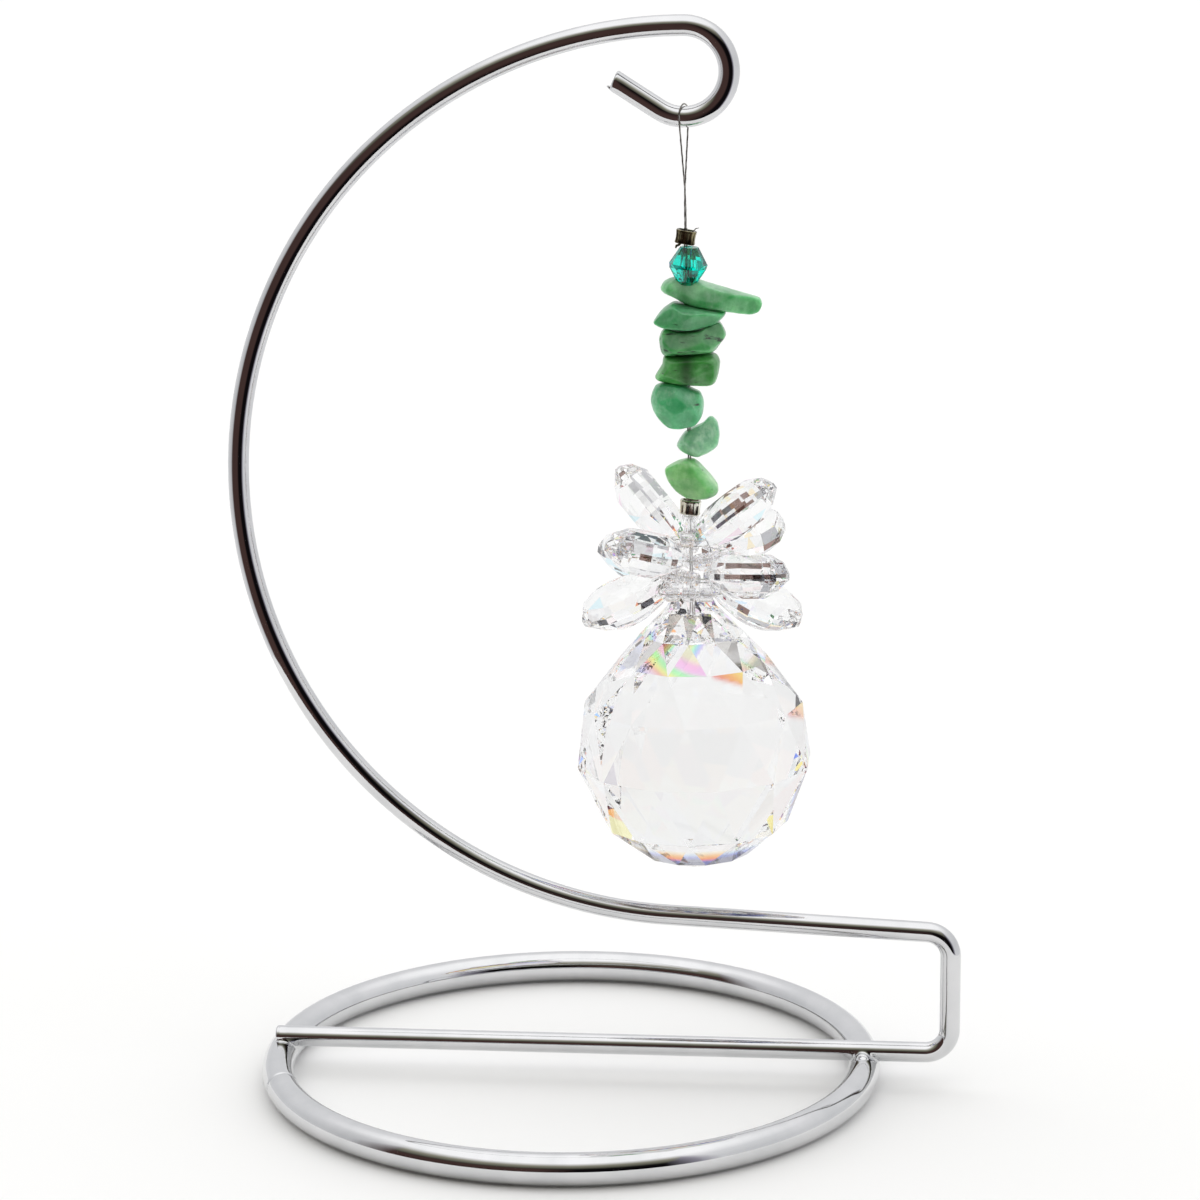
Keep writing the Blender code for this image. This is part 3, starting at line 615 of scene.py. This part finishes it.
def make_weld(name, side, drops):
    """Where the arm is welded on the ring: a fillet in the creases between the wires, and melted drops."""
    middle = math.pi if side < 0 else 0
    curve = [ring_point(middle + (index / 12 - 0.5) * 2 * WELD_REACH / RING_RADIUS) for index in range(13)]
    sizes = eased(13, RING_WIRE_RADIUS * 1.01, RING_WIRE_RADIUS * 0.9)
    pieces = [mesh_of_rows(name, tube_rows(curve, sizes, 32))]
    start = -CHORD_OVERHANG + ARM_EDGE if side < 0 else -WELD_REACH
    chord = [Vector((side * RING_RADIUS + start + (WELD_REACH - start) * index / 12, 0, CHORD_HEIGHT))
             for index in range(13)]
    sizes = eased(13, ARM_RADIUS * 1.02, ARM_RADIUS * 0.86)
    if side < 0:
        sizes = [ARM_RADIUS * (1.02 - 0.16 * (index / 12) ** 2) for index in range(13)]
    pieces.append(mesh_of_rows(name, tube_rows(chord, sizes, 28)))
    joined = bmesh.new()
    for piece in pieces:
        joined.from_mesh(piece)
    for place, size in drops:
        ball = bmesh.ops.create_icosphere(joined, subdivisions=3, radius=size)
        centre = Vector((side * RING_RADIUS, 0, CHORD_HEIGHT)) + Vector(place)
        bmesh.ops.translate(joined, verts=ball["verts"], vec=centre)
    skin = remeshed(name, mesh_of(name, joined), WELD_VOXEL, 8)
    for vertex in skin.vertices:
        vertex.co.z = max(vertex.co.z, FLOOR_GAP)
    add_piece(name, skin, chrome, [])


def strand_route(side):
    """One strand from the ball up to the hook. It crosses the other one below the hook."""
    crimp_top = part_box("upper_crimp")[1].z
    foot = ball_high.z - STRAND_DEPTH
    beside = Vector((math.cos(LOOP_TURN), -math.sin(LOOP_TURN), 0))
    steps = int((crimp_top - foot) / LAY_LENGTH * 8)
    route = []
    for index in range(steps):
        height = foot + (crimp_top - foot) * index / steps
        route.append(on_string(height) - beside * STRAND_SPREAD * side)
    loop = hook_bottom.z - crimp_top
    steps = int(loop / LAY_LENGTH * 8)
    for index in range(steps):
        height = crimp_top + loop * index / steps
        share = (height - STRANDS_CROSS) / (hook_bottom.z - STRANDS_CROSS)
        spread = -STRAND_SPREAD * min(1, -share * 4) if share < 0 else loop_half_width * share
        passing = STRAND_RADIUS * 1.2 * (1 - min(1, abs(share) * 2.5))
        route.append(on_string(height) + loop_across * spread * side)
        route[-1].y -= passing * side
    return route


def make_string():
    """The doubled wire. It is laid of fine wires, which show as small waves in its outline."""
    saddle = []
    for index in range(41):
        angle = math.pi * index / 40
        across = loop_across * loop_half_width * math.cos(angle)
        saddle.append(hook_bottom + across + Vector((0, 0, loop_half_width * math.sin(angle))))
    points = strand_route(1) + saddle + strand_route(-1)[::-1]
    rows = tube_rows(points, [STRAND_RADIUS] * len(points), 12)
    run = 0
    for index, row in enumerate(rows):
        if index:
            run += (points[index] - points[index - 1]).length
        for step, corner in enumerate(row):
            wave = math.cos(3 * (2 * math.pi * step / 12 - 2 * math.pi * run / LAY_LENGTH / 3))
            row[step] = points[index] + (corner - points[index]) * (1 + LAY_DEPTH * wave)
    add_piece("string", mesh_of_rows("string", rows), string_steel, ["string_wire"])


def node_mesh(name):
    """A copy of a node's mesh with its corners joined."""
    made = bmesh.new()
    made.from_mesh(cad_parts[name].data)
    bmesh.ops.remove_doubles(made, verts=made.verts, dist=0.000002)
    bmesh.ops.recalc_face_normals(made, faces=made.faces)
    return mesh_of(name + "_copy", made)


def smooth_outline(points, steps=5):
    """A closed curve through these points."""
    curve = []
    count = len(points)
    for index in range(count):
        a, b, c, d = (Vector(points[(index + shift) % count]) for shift in (-1, 0, 1, 2))
        for step in range(steps):
            t = step / steps
            bend = 2 * b + (c - a) * t + (2 * a - 5 * b + 4 * c - d) * t * t
            bend = (bend + (3 * b - a - 3 * c + d) * t ** 3) / 2
            curve.append(b.lerp(c, t).lerp(bend, 0.6))
    return curve


def chip_mesh(number):
    """A chip of its own outline, fuller in the middle, with flats worn across its front and back edges."""
    node = f"stone_chip_{number}"
    low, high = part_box(node)
    middle = (low.z + high.z) / 2
    centre = on_string(middle) + Vector((stand_x, (low.y + high.y) / 2, 0))
    outline = [point / 1000 for point in smooth_outline(CHIP_OUTLINES[number])]
    heart = sum(outline, Vector((0, 0))) / len(outline)
    stretch = CHIP_STRETCH if number in TOUCHING_CHIPS else 1
    slices = [(-place, size) for place, size in CHIP_SLICES[::-1]] + list(CHIP_SLICES)
    rows = []
    for place, size in slices:
        row = []
        for point in outline:
            inset = heart + (point - heart) * size
            up = heart.y + (inset.y - heart.y) * stretch
            row.append(centre + Vector((inset.x, place * (high.y - low.y) / 2, up)))
        rows.append(row)
    made = bmesh.new()
    made.from_mesh(mesh_of_rows(node, rows))
    wear = random.Random(40 + number)
    for _ in range(CHIP_FLATS):
        across = wear.uniform(-0.7, 0.7)
        ahead = wear.choice((-1, -1, 1)) * wear.uniform(0.9, 1.5)
        facing = Vector((across, ahead, wear.uniform(-1, 1))).normalized()
        reach = max(vertex.co.dot(facing) for vertex in made.verts)
        depth = reach - facing.dot(centre)
        point = facing * (reach - depth * wear.uniform(0.10, 0.26))
        geometry = made.verts[:] + made.edges[:] + made.faces[:]
        cut = bmesh.ops.bisect_plane(made, geom=geometry, plane_co=point, plane_no=facing, clear_outer=True)
        if any(isinstance(item, bmesh.types.BMEdge) for item in cut["geom_cut"]):
            bmesh.ops.holes_fill(made, edges=made.edges, sides=0)
    return mesh_of(node + "_cut", made)


def make_stone(number):
    """A tumbled chip: its edges worn round, with broad dents and small pits left in its skin."""
    name = f"green_chip_{number}"
    mesh = remeshed(name, chip_mesh(number), CHIP_VOXEL, 7)
    shift = Vector((number * 3.7, number * 1.3, 0))
    moved = []
    for vertex in mesh.vertices:
        broad = noise.noise(vertex.co * DENT_SCALE + shift)
        fine = noise.noise(vertex.co * GRAIN_SCALE + shift)
        pit = max(0, noise.noise(vertex.co * PIT_SCALE - shift) - PIT_START)
        moved.append(vertex.co + vertex.normal * (broad * DENT_DEPTH + fine * GRAIN_DEPTH - pit * PIT_DEPTH))
    for vertex, place in zip(mesh.vertices, moved):
        vertex.co = place
    add_piece(name, mesh, stone_look(number), [f"stone_chip_{number}"], to_model=Matrix())


def petal_half_width(share):
    end = PETAL_END_WIDTH / 2
    return end + (PETAL_WIDTH / 2 - end) * math.sin(math.pi * share**PETAL_SKEW) ** PETAL_FULLNESS


def hull_of(name, points):
    made = bmesh.new()
    for point in points:
        made.verts.new(point)
    found = bmesh.ops.convex_hull(made, input=made.verts)
    loose = [item for item in found["geom_interior"] if isinstance(item, bmesh.types.BMVert)]
    bmesh.ops.delete(made, geom=loose, context="VERTS")
    bmesh.ops.dissolve_limit(made, angle_limit=0.01, verts=made.verts, edges=made.edges)
    return mesh_of(name, made)


def tint_face(face, flash, tint):
    """Gives every corner of a face this colour."""
    for loop in face.loops:
        loop[flash] = (*tint, 1)


def petal_mesh(name, seed):
    """A cut drop: a flat on either face, long facets round each, and a girdle of small facets with painted
    reflections.
    """
    outline = [Vector((share * PETAL_LENGTH, petal_half_width(share))) for share in PETAL_SHARES]
    outline += [Vector((PETAL_LENGTH, PETAL_END_WIDTH * 0.42))]
    outline += [Vector((point.x, -point.y)) for point in outline[::-1]]
    heart = Vector((PETAL_LENGTH * PETAL_HEART, 0))
    wider, thinner = PETAL_SHOULDER
    count = len(outline)
    corners = []
    for face, size in zip((1, -1), PETAL_TABLE):
        corners += [Vector((point.x, point.y, face * PETAL_GIRDLE / 2)) for point in outline]
        for index in range(count):
            point = outline[index].lerp(outline[(index + 1) % count], 0.5)
            near = heart + (point - heart) * size
            corners.append(Vector((near.x, near.y, face * PETAL_THICKNESS / 2)))
            far = heart + (outline[index] - heart) * (size + wider)
            corners.append(Vector((far.x, far.y, face * PETAL_THICKNESS * thinner)))
    mesh = hull_of(name, corners)
    made = bmesh.new()
    made.from_mesh(mesh)
    made.normal_update()
    band = [face for face in made.faces if abs(face.normal.z) < GIRDLE_LEAN]
    flash = made.loops.layers.float_color.new("fire")
    for face in made.faces:
        tint_face(face, flash, WHITE)
    long_edges = [edge for face in band for edge in face.edges
                  if abs(edge.verts[0].co.z - edge.verts[1].co.z) < 1e-6]
    bmesh.ops.subdivide_edges(made, edges=list(set(long_edges)), cuts=1, use_grid_fill=True)
    made.normal_update()
    # Painted light in the colour layer: reflections on the girdle, glints on a few other facets
    chance = random.Random(seed)
    for face in made.faces:
        if abs(face.normal.z) < GIRDLE_LEAN:
            tint_face(face, flash, chance.choice(GIRDLE_PAINTED_REFLECTIONS))
        elif chance.random() < GLINT_SHARE:
            tint_face(face, flash, chance.choice(GLINTS))
    made.to_mesh(mesh)
    made.free()
    return mesh


def lathe(name, profile, sides):
    """A turned ring of glass or metal about Z, from (radius, height) pairs that close on themselves."""
    rows = []
    for angle in turns(sides):
        rows.append([round_point(radius, angle, height) for radius, height in profile])
    return mesh_of_rows(name, rows, closed=True)


def bead_mesh(name):
    """A small round-edged bead with its bore."""
    edge = SMALL_BEAD_EDGE
    profile = [(SMALL_BEAD_BORE, SMALL_BEAD_LENGTH / 2 - SMALL_BEAD_LIP)]
    for sign in (1, -1):
        corner = []
        for index in range(6):
            angle = math.pi / 2 * (1 - index / 5)
            across = SMALL_BEAD_RADIUS - edge + edge * math.cos(angle)
            up = SMALL_BEAD_LENGTH / 2 - edge + edge * math.sin(angle)
            corner.append((across, up))
        profile += corner if sign > 0 else [(across, -up) for across, up in corner[::-1]]
    profile.append((SMALL_BEAD_BORE, SMALL_BEAD_LIP - SMALL_BEAD_LENGTH / 2))
    return lathe(name, profile, 28)


def add_facets(name, mesh, look, nodes, matrix):
    """A cut piece: every facet is flat."""
    shade(mesh, False)
    add_piece(name, mesh, look, nodes, matrix)


def loop_points(middle, left, right):
    """The route of a tier's wire: a loop with blunt corners, flat in its tier's plane."""
    points = []
    for angle in turns(TIER_LOOP_STEPS):
        across, along = blunt(angle, 1 / 3)
        point = left.lerp(right, (1 + across) / 2)
        point.y = along * TIER_LOOP_DEPTH / 2
        points.append(middle @ point)
    return points


def make_tier(number, tier):
    """Two petals on their fine wire loop, with the small clear beads before and behind the string."""
    middle = Matrix.Translation(on_string(BALL_CENTRE_HEIGHT + LUG_TOP_RISE + tier["height"]))
    middle = middle @ Matrix.Rotation(math.radians(tier["turn"]), 4, "Z")
    bores = []
    for side, word in enumerate(("left", "right")):
        outward = Matrix.Rotation(math.pi * (1 - side), 4, "Z")
        rise = Matrix.Rotation(-math.radians(tier["rises"][side]), 4, "Y")
        pose = outward @ Matrix.Translation((tier["insets"][side], 0, 0)) @ rise
        rolled = middle @ pose @ Matrix.Rotation(math.radians(tier["rolls"][side]), 4, "X")
        name = f"cut_petal_{number}_{word}"
        mesh = petal_mesh(name, 10 * number + side)
        add_facets(name, mesh, clear_crystal, [f"petal_{number}_{word}"], rolled)
        bores.append(pose @ Vector((PETAL_BORE_INSET, 0, 0)))
    left, right = bores
    points = loop_points(middle, left, right)
    rows = tube_rows(points, [TIER_WIRE_RADIUS] * len(points), 10, closed=True)
    name = f"loop_wire_{number}"
    nodes = [f"tier_wire_{number}"]
    add_piece(name, mesh_of_rows(name, rows, closed=True), silver_wire, nodes)
    slope = math.atan2(right.z - left.z, right.x - left.x)
    frame_of_loop = middle @ Matrix.Translation((left + right) / 2) @ Matrix.Rotation(-slope, 4, "Y")
    in_a_row = sum(node.startswith(f"crown_bead_{number}_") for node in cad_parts) // 2
    step = SMALL_BEAD_LENGTH + SMALL_BEAD_GAP
    places = [(index - (in_a_row - 1) / 2) * step for index in range(in_a_row)]
    for index, (along, across) in enumerate(((row, place) for row in (-1, 1) for place in places), 1):
        shift = Matrix.Translation((across, along * TIER_LOOP_DEPTH / 2, 0))
        matrix = frame_of_loop @ shift @ Matrix.Rotation(math.pi / 2, 4, "Y")
        name = f"clear_bead_{number}_{index}"
        nodes = [f"crown_bead_{number}_{index}"]
        add_piece(name, bead_mesh(name), bead_crystal, nodes, matrix)


def colour_at(stops, place):
    """The colour between the stops on either side of this place."""
    if place <= stops[0][0]:
        return Vector(stops[0][1])
    for (low, dark), (high, light) in zip(stops, stops[1:]):
        if place <= high:
            return Vector(dark).lerp(Vector(light), (place - low) / (high - low))
    return Vector(stops[-1][1])


def painted_fire_colour(kind, place, corners):
    """The painted colour, standing in for split light or a reflection, that a facet shows at this place.
    corners are its base's ends and its apex.
    """
    left, right, apex = corners
    if kind == "arc":
        seen = Vector((place.x - FIRE_HEART.x, 0, place.z + 0.24 * place.y - FIRE_HEART.z)).length
        return colour_at(FIRE_ARC, seen)
    if kind == "arc_far":
        heart = (right + apex) / 2 + Vector((0, 0, 0.003))
        return colour_at(FIRE_ARC, 0.0052 + 0.9 * (place - heart).length)
    base = right - left
    across = (place - left).dot(base) / base.length_squared
    rise = apex - (left + right) / 2
    toward_apex = (place - (left + right) / 2).dot(rise) / rise.length_squared
    ramp, _, part = kind.partition("_")
    if ramp in RAMPS:
        shifts = {"tip": 1 - toward_apex, "edge": 1.4 - across - toward_apex}
        return colour_at(RAMPS[ramp], shifts.get(part, toward_apex))
    white = Vector(WHITE)
    if kind == "sliver":
        edge = 0.30 * across
        inside = min(1, max(0, 0.5 + (edge - toward_apex) / 0.09)) * min(1, max(0, across * 8 - 0.5))
        colour = colour_at(FIRE_BLEND, 0.10 + 0.22 * across + 0.33 * max(0, edge - toward_apex))
        return white.lerp(colour, inside)
    reach = across + toward_apex * 0.9
    if kind == "warm_corner":
        return colour_at(FIRE_BLEND, 0.08 + reach * 1.1) if reach < 0.55 else white
    return colour_at(FIRE_BLEND, 0.42 + reach * 0.8) if reach < 0.6 else white


def ball_rows():
    """The circles of corners of the ball, from the top of its lug down."""
    circles = list(LUG_ROWS)
    circles += [(BALL_RADIUS * radius, BALL_RADIUS * height) for radius, height in SHOULDER_SHARES]
    for latitude in BALL_LATITUDES:
        angle = math.radians(latitude)
        circles.append((BALL_RADIUS * math.cos(angle), BALL_RADIUS * math.sin(angle)))
    rows = []
    for index, (radius, height) in enumerate(circles):
        angles = turns(BALL_SIDES, 0.5 * ((index + 1) % 2))
        rows.append([round_point(radius, angle, height) for angle in angles])
    return rows


def base_and_apex(face):
    """The ends of a triangle's level side and its third corner, from left to right as seen from outside."""
    corners = sorted(face.verts, key=lambda vertex: vertex.co.z)
    level = abs(corners[0].co.z - corners[1].co.z) < 1e-5
    base, apex = (corners[:2], corners[2]) if level else (corners[1:], corners[0])
    base.sort(key=lambda vertex: (vertex.co - apex.co).cross(Vector((0, 0, 1))).dot(face.normal))
    return [vertex.co.copy() for vertex in (*base, apex)]


def make_ball():
    """The big ball: rows of triangles between circles of latitude, under a blunt cone and a short lug."""
    lean = Matrix.Translation(on_string(BALL_CENTRE_HEIGHT)) @ Matrix.Rotation(-STRING_LEAN, 4, "Y")
    made = bmesh.new()
    rows = [[made.verts.new(corner) for corner in row] for row in ball_rows()]
    made.faces.new(rows[0])
    made.faces.new(rows[-1][::-1])
    fires = {(row, turn): (kind, strength) for row, kind, strength, turned in FIRE_FACETS for turn in turned}
    flashing = []
    for index, (upper, lower) in enumerate(zip(rows, rows[1:])):
        for step in range(BALL_SIDES):
            following = (step + 1) % BALL_SIDES
            a, b, c, d = upper[step], upper[following], lower[step], lower[following]
            for corners in ((c, b, a), (c, d, b)) if index % 2 else ((d, b, a), (c, d, a)):
                face = made.faces.new(corners)
                middle = face.calc_center_median()
                turn = round(math.degrees(math.atan2(middle.x, -middle.y)) / 15) * 15
                turn = 180 if turn == -180 else turn
                if (index, turn) in fires:
                    flashing.append((face, *fires[(index, turn)]))
    bmesh.ops.recalc_face_normals(made, faces=made.faces)
    # Painted light: the chosen facets get painted rainbows and painted reflections in this colour layer
    flash = made.loops.layers.float_color.new("fire")
    for face in made.faces:
        tint_face(face, flash, WHITE)
    plans = []
    for face, kind, strength in flashing:
        plans.append((face.normal.copy(), face.calc_center_median(), base_and_apex(face), kind, strength))
    edges = list({edge for face, _, _ in flashing for edge in face.edges})
    bmesh.ops.subdivide_edges(made, edges=edges, cuts=FIRE_CUTS, use_grid_fill=True)
    made.normal_update()
    for normal, middle, corners, kind, strength in plans:
        reach = max((corner - middle).length for corner in corners)
        for face in made.faces:
            away = face.calc_center_median() - middle
            if abs(away.dot(normal)) > 2e-6 or away.length > reach or face.normal.dot(normal) < 0.9999:
                continue
            for loop in face.loops:
                place = lean @ loop.vert.co if kind == "arc" else loop.vert.co
                tint = painted_fire_colour(kind, place, corners)
                loop[flash] = (*Vector(WHITE).lerp(tint, strength), 1)
    add_facets("cut_ball", mesh_of("cut_ball", made), ball_crystal, ["crystal_ball"], lean)


CRIMP_WALL = 0.00022
CRIMP_STEPS = 96
CRIMP_LEVELS = (
    (-1, 0.90), (-0.96, 0.97), (-0.86, 1.02), (-0.6, 0.98), (-0.2, 0.96), (0.2, 0.97), (0.6, 0.99),
    (0.86, 1.03), (0.96, 0.98), (1, 0.90),
)


def crimp_mesh(name, width, depth, length, ribs):
    """A short tube pressed flat on the wires, with the tool's ribs across its two faces."""
    rows = []
    for wall, levels in ((0, CRIMP_LEVELS), (CRIMP_WALL, CRIMP_LEVELS[::-1])):
        for level, size in levels:
            row = []
            for angle in turns(CRIMP_STEPS):
                across, along = blunt(angle, 0.55)
                pressed = 1 - 0.16 * (0.5 + 0.5 * math.cos(across * math.pi * ribs)) * (1 - level**4)
                x = across * (width / 2 * size - wall)
                y = along * (depth / 2 * size * pressed - wall)
                row.append(Vector((x, y, level * length / 2)))
            rows.append(row)
    return mesh_of_rows(name, rows, closed=True)


def make_crimp(node, tilt, size, look, height_shift, ribs):
    """A crimp on the string. size is its width, depth and length."""
    middle = middle_height(node) + height_shift
    lean = Matrix.Translation(on_string(middle)) @ Matrix.Rotation(tilt - STRING_LEAN, 4, "Y")
    name = node.replace("crimp", "pressed_crimp")
    add_piece(name, crimp_mesh(name, *size, ribs), look, [node], lean)


TAIL_POINTS = ((-0.0004, -0.0005, -0.0006), (-0.0008, -0.0007, -0.0010), (-0.0011, -0.0008, -0.0011),
               (-0.0012, -0.0008, -0.0014))
HAIR_POINTS = ((0.0009, -0.0003, 0.0006), (0.0013, -0.0005, 0.0010), (0.0017, -0.0006, 0.0011))


def make_wire_end(name, node, points, radius, look):
    """A short end of wire that stands out of a crimp. Its points are taken from the crimp's middle."""
    middle = on_string(middle_height(node))
    radii = [radius] * (len(points) - 1) + [radius * 0.6]
    rows = tube_rows([middle + Vector(point) for point in points], radii, 10)
    add_piece(name, mesh_of_rows(name, rows), look, [])


def make_gem(node, name, look, shift=(0, 0, 0), painted_reflections=()):
    """A cut bead with the frame's own facets, each painted with one of these grey levels, in place of dark
    reflections, where there are any.
    """
    mesh = node_mesh(node)
    shade(mesh, False)
    # Painted reflections: each facet is darkened by one of these grey levels in the colour layer
    if painted_reflections:
        chance = random.Random(3)
        flash = mesh.color_attributes.new("fire", "FLOAT_COLOR", "CORNER")
        for face in mesh.polygons:
            tint = [chance.choice(painted_reflections)] * 3
            for index in face.loop_indices:
                flash.data[index].color = (*tint, 1)
    add_piece(name, mesh, look, [node], Matrix.Translation(shift), to_model=Matrix())


# Light and camera


STUDIO_LIGHT = 1.32
BACKDROP = (0.72, 0.72, 0.72, 1)  # what the camera itself sees behind the object


def make_world():
    """A white studio with a dark end on the camera's side, which the metal and the crystal mirror."""
    world = bpy.data.worlds.new("studio")
    bpy.context.scene.world = world
    world.use_nodes = True
    world.node_tree.nodes.clear()
    nodes = Nodes(world.node_tree)
    place = nodes.parts("Generated")
    turn = nodes.math("ARCTAN2", place["X"], nodes.math("MULTIPLY", place["Y"], -1))
    around = nodes.span(turn, -math.pi, math.pi)
    upward = nodes.span(nodes.math("ARCSINE", place["Z"]), -math.pi / 2, math.pi / 2)

    def by_turn(stops):
        """Colours round the horizon, their places in degrees from the camera's side."""
        return nodes.ramp(around, [(degrees / 360 + 0.5, colour) for degrees, colour in stops])

    def by_height(stops):
        """Colours from the floor up, their places in degrees above the horizon."""
        return nodes.ramp(upward, [(degrees / 180 + 0.5, colour) for degrees, colour in stops])

    # What the metal mirrors: a warm black end under a bright ceiling, between walls in half light
    dark_end = by_turn((
        (-120, (1, 1, 1)), (-80, (0.80, 0.80, 0.80)), (-62, (0.085, 0.048, 0.042)),
        (-6, (0.085, 0.048, 0.042)), (8, (0.006, 0.005, 0.006)), (40, (0.006, 0.005, 0.006)),
        (52, (0.40, 0.38, 0.44)), (60, (1, 1, 1)),
    ))
    ceiling = by_height(((18, (0, 0, 0)), (40, (0.35, 0.34, 0.26)), (58, (1, 1, 1))))
    room = nodes.mix(dark_end, ceiling, kind="LIGHTEN")
    walls = by_height((
        (-30, (0.70, 0.70, 0.71)), (10, (0.60, 0.605, 0.615)), (40, (0.72, 0.72, 0.73)), (62, (1, 1, 1)),
    ))

    # What shows through the crystal: the same dark end, with coloured fringes in place of split light
    fringes = by_turn((
        (-100, (0.74, 0.74, 0.74)), (-93, (0.90, 0.80, 0.30)), (-87, (0.85, 0.33, 0.12)),
        (-80, (0.36, 0.04, 0.05)), (-72, (0.13, 0.095, 0.085)), (-40, (0.09, 0.07, 0.065)),
        (-14, (0.03, 0.026, 0.028)), (0, (0.008, 0.008, 0.010)), (26, (0.010, 0.012, 0.035)),
        (38, (0.014, 0.02, 0.10)), (44, (0.03, 0.04, 0.34)), (51, (0.22, 0.34, 0.95)),
        (58, (0.50, 0.80, 0.90)), (66, (0.74, 0.74, 0.74)),
    ))
    crest = by_height((
        (16, (0, 0, 0)), (22, (0.30, 0.03, 0.06)), (28, (0.85, 0.32, 0.12)), (34, (0.80, 0.76, 0.32)),
        (41, (0.74, 0.74, 0.74)), (52, (0.80, 0.80, 0.80)), (64, (1, 1, 1)),
    ))
    rays = nodes.add("LightPath").outputs
    mirrored = nodes.mix(room, walls, rays["Is Glossy Ray"], "MULTIPLY")
    seen = nodes.mix(mirrored, nodes.mix(fringes, crest, kind="LIGHTEN"), rays["Is Transmission Ray"])
    seen = nodes.mix(seen, BACKDROP, rays["Is Camera Ray"])
    shine = nodes.add("Background")
    shine.inputs["Strength"].default_value = STUDIO_LIGHT
    nodes.put(seen, shine.inputs["Color"])
    nodes.put(shine.outputs[0], nodes.add("OutputWorld").inputs["Surface"])


FLOOR_HEIGHT = -0.0001
FLOOR_PIECES = (("floor_near", 0, 0.13), ("floor_far", 0.13, 6.0))  # name, inner and outer radius


def make_floor():
    """A pale floor: a disc that the chrome mirrors, in a wide flat ring that it doesn't."""
    values = {"Base Color": (0.93, 0.93, 0.93, 1), "Roughness": 0.9, "Specular IOR Level": 0.1}
    look = node_material("pale_floor", values)[0]
    for name, inner, outer in FLOOR_PIECES:
        made = bmesh.new()
        rim = bmesh.ops.create_circle(made, cap_ends=not inner, segments=96, radius=outer)["verts"]
        if inner:
            hole = bmesh.ops.create_circle(made, segments=96, radius=inner)["verts"]
            edges = {edge for corner in rim + hole for edge in corner.link_edges}
            bmesh.ops.bridge_loops(made, edges=list(edges))
        floor = add_object(name, mesh_of(name, made), Matrix.Translation((0, 0, FLOOR_HEIGHT)))
        floor.data.materials.append(look)
        floor.visible_glossy = not inner


CAMERA_TURN = (-0.0965, 0.23631, -0.00696)  # yaw, pitch and roll
CAMERA_PLACE = (0.051509, -0.488845, 0.182157)
CAMERA_LENS = 119.546


def make_camera():
    """The photograph's viewpoint."""
    yaw, pitch, roll = CAMERA_TURN
    forward = Vector((math.sin(yaw) * math.cos(pitch), math.cos(yaw) * math.cos(pitch), -math.sin(pitch)))
    right = Vector((math.cos(yaw), -math.sin(yaw), 0))
    upward = right.cross(forward)
    rolled_right = right * math.cos(roll) + upward * math.sin(roll)
    rolled_up = upward * math.cos(roll) - right * math.sin(roll)
    data = bpy.data.cameras.new("camera")
    data.lens = CAMERA_LENS
    data.sensor_width = 36
    data.clip_start = 0.01
    data.clip_end = 50
    turn = Matrix((rolled_right, rolled_up, -forward)).transposed()
    place = TO_MODEL @ Matrix.Translation(CAMERA_PLACE)
    bpy.context.scene.camera = add_object("camera", data, place @ turn.to_4x4())


BICONE_SHIFT = (0.00025, 0, -0.0001)
# Grey levels painted on the bicone's facets, in place of dark reflections
BICONE_PAINTED_REFLECTIONS = (1, 0.7, 1, 0.3, 0.1)
BOUNCES = 32  # enough for light to get out of the crystal again

chrome = chrome_look()
string_steel = string_look()
silver_wire = steel_look("silver_wire", (0.62, 0.62, 0.60), (0.86, 0.86, 0.84), 0.12, 1500)
crimp_metal = steel_look("crimp_metal", (0.05, 0.038, 0.02), (0.34, 0.30, 0.17), 0.26, 900)
worn_metal = steel_look("crimp_metal_worn", (0.50, 0.46, 0.36), (0.98, 0.96, 0.86), 0.2, 700)
ball_crystal = crystal_look("clear_crystal_painted_fire", (0.90, 0.905, 0.91), 1.56, fire=True)
clear_crystal = crystal_look("clear_crystal", (0.95, 0.955, 0.96), 1.56, fire=True)
spacer_crystal = crystal_look("clear_crystal_plain", (0.93, 0.935, 0.94), 1.56)
bead_crystal = crystal_look("bead_crystal", (0.90, 0.90, 0.91), 1.50)
teal_crystal = crystal_look("teal_crystal", (0.0, 0.92, 0.73), 1.56, fire=True, glare=0.2)

make_camera()
make_world()
make_floor()
make_ring()
make_arm()
make_weld("weld_left", -1, WELD_DROPS_LEFT)
make_weld("weld_right", 1, WELD_DROPS_RIGHT)
make_string()
for chip_number in range(1, 8):
    make_stone(chip_number)
for tier_number, tier in enumerate(TIERS, 1):
    make_tier(tier_number, tier)
make_ball()
make_gem("top_spacer", "cut_spacer", spacer_crystal)
make_gem("teal_bicone", "cut_bicone", teal_crystal, BICONE_SHIFT, BICONE_PAINTED_REFLECTIONS)
make_crimp("upper_crimp", math.radians(10), (0.0025, 0.0019, 0.0017), crimp_metal, -0.0001, 5)
make_crimp("lower_crimp", math.radians(6), (0.0026, 0.0019, 0.0018), worn_metal, -0.0002, 3)
make_wire_end("crimp_tail", "upper_crimp", TAIL_POINTS, 0.00016, crimp_metal)
make_wire_end("crimp_hair", "upper_crimp", HAIR_POINTS, 0.00006, crimp_metal)

bpy.context.scene.view_settings.view_transform = "Standard"
cycles = bpy.context.scene.cycles
cycles.max_bounces = BOUNCES
cycles.transmission_bounces = BOUNCES
cycles.glossy_bounces = BOUNCES
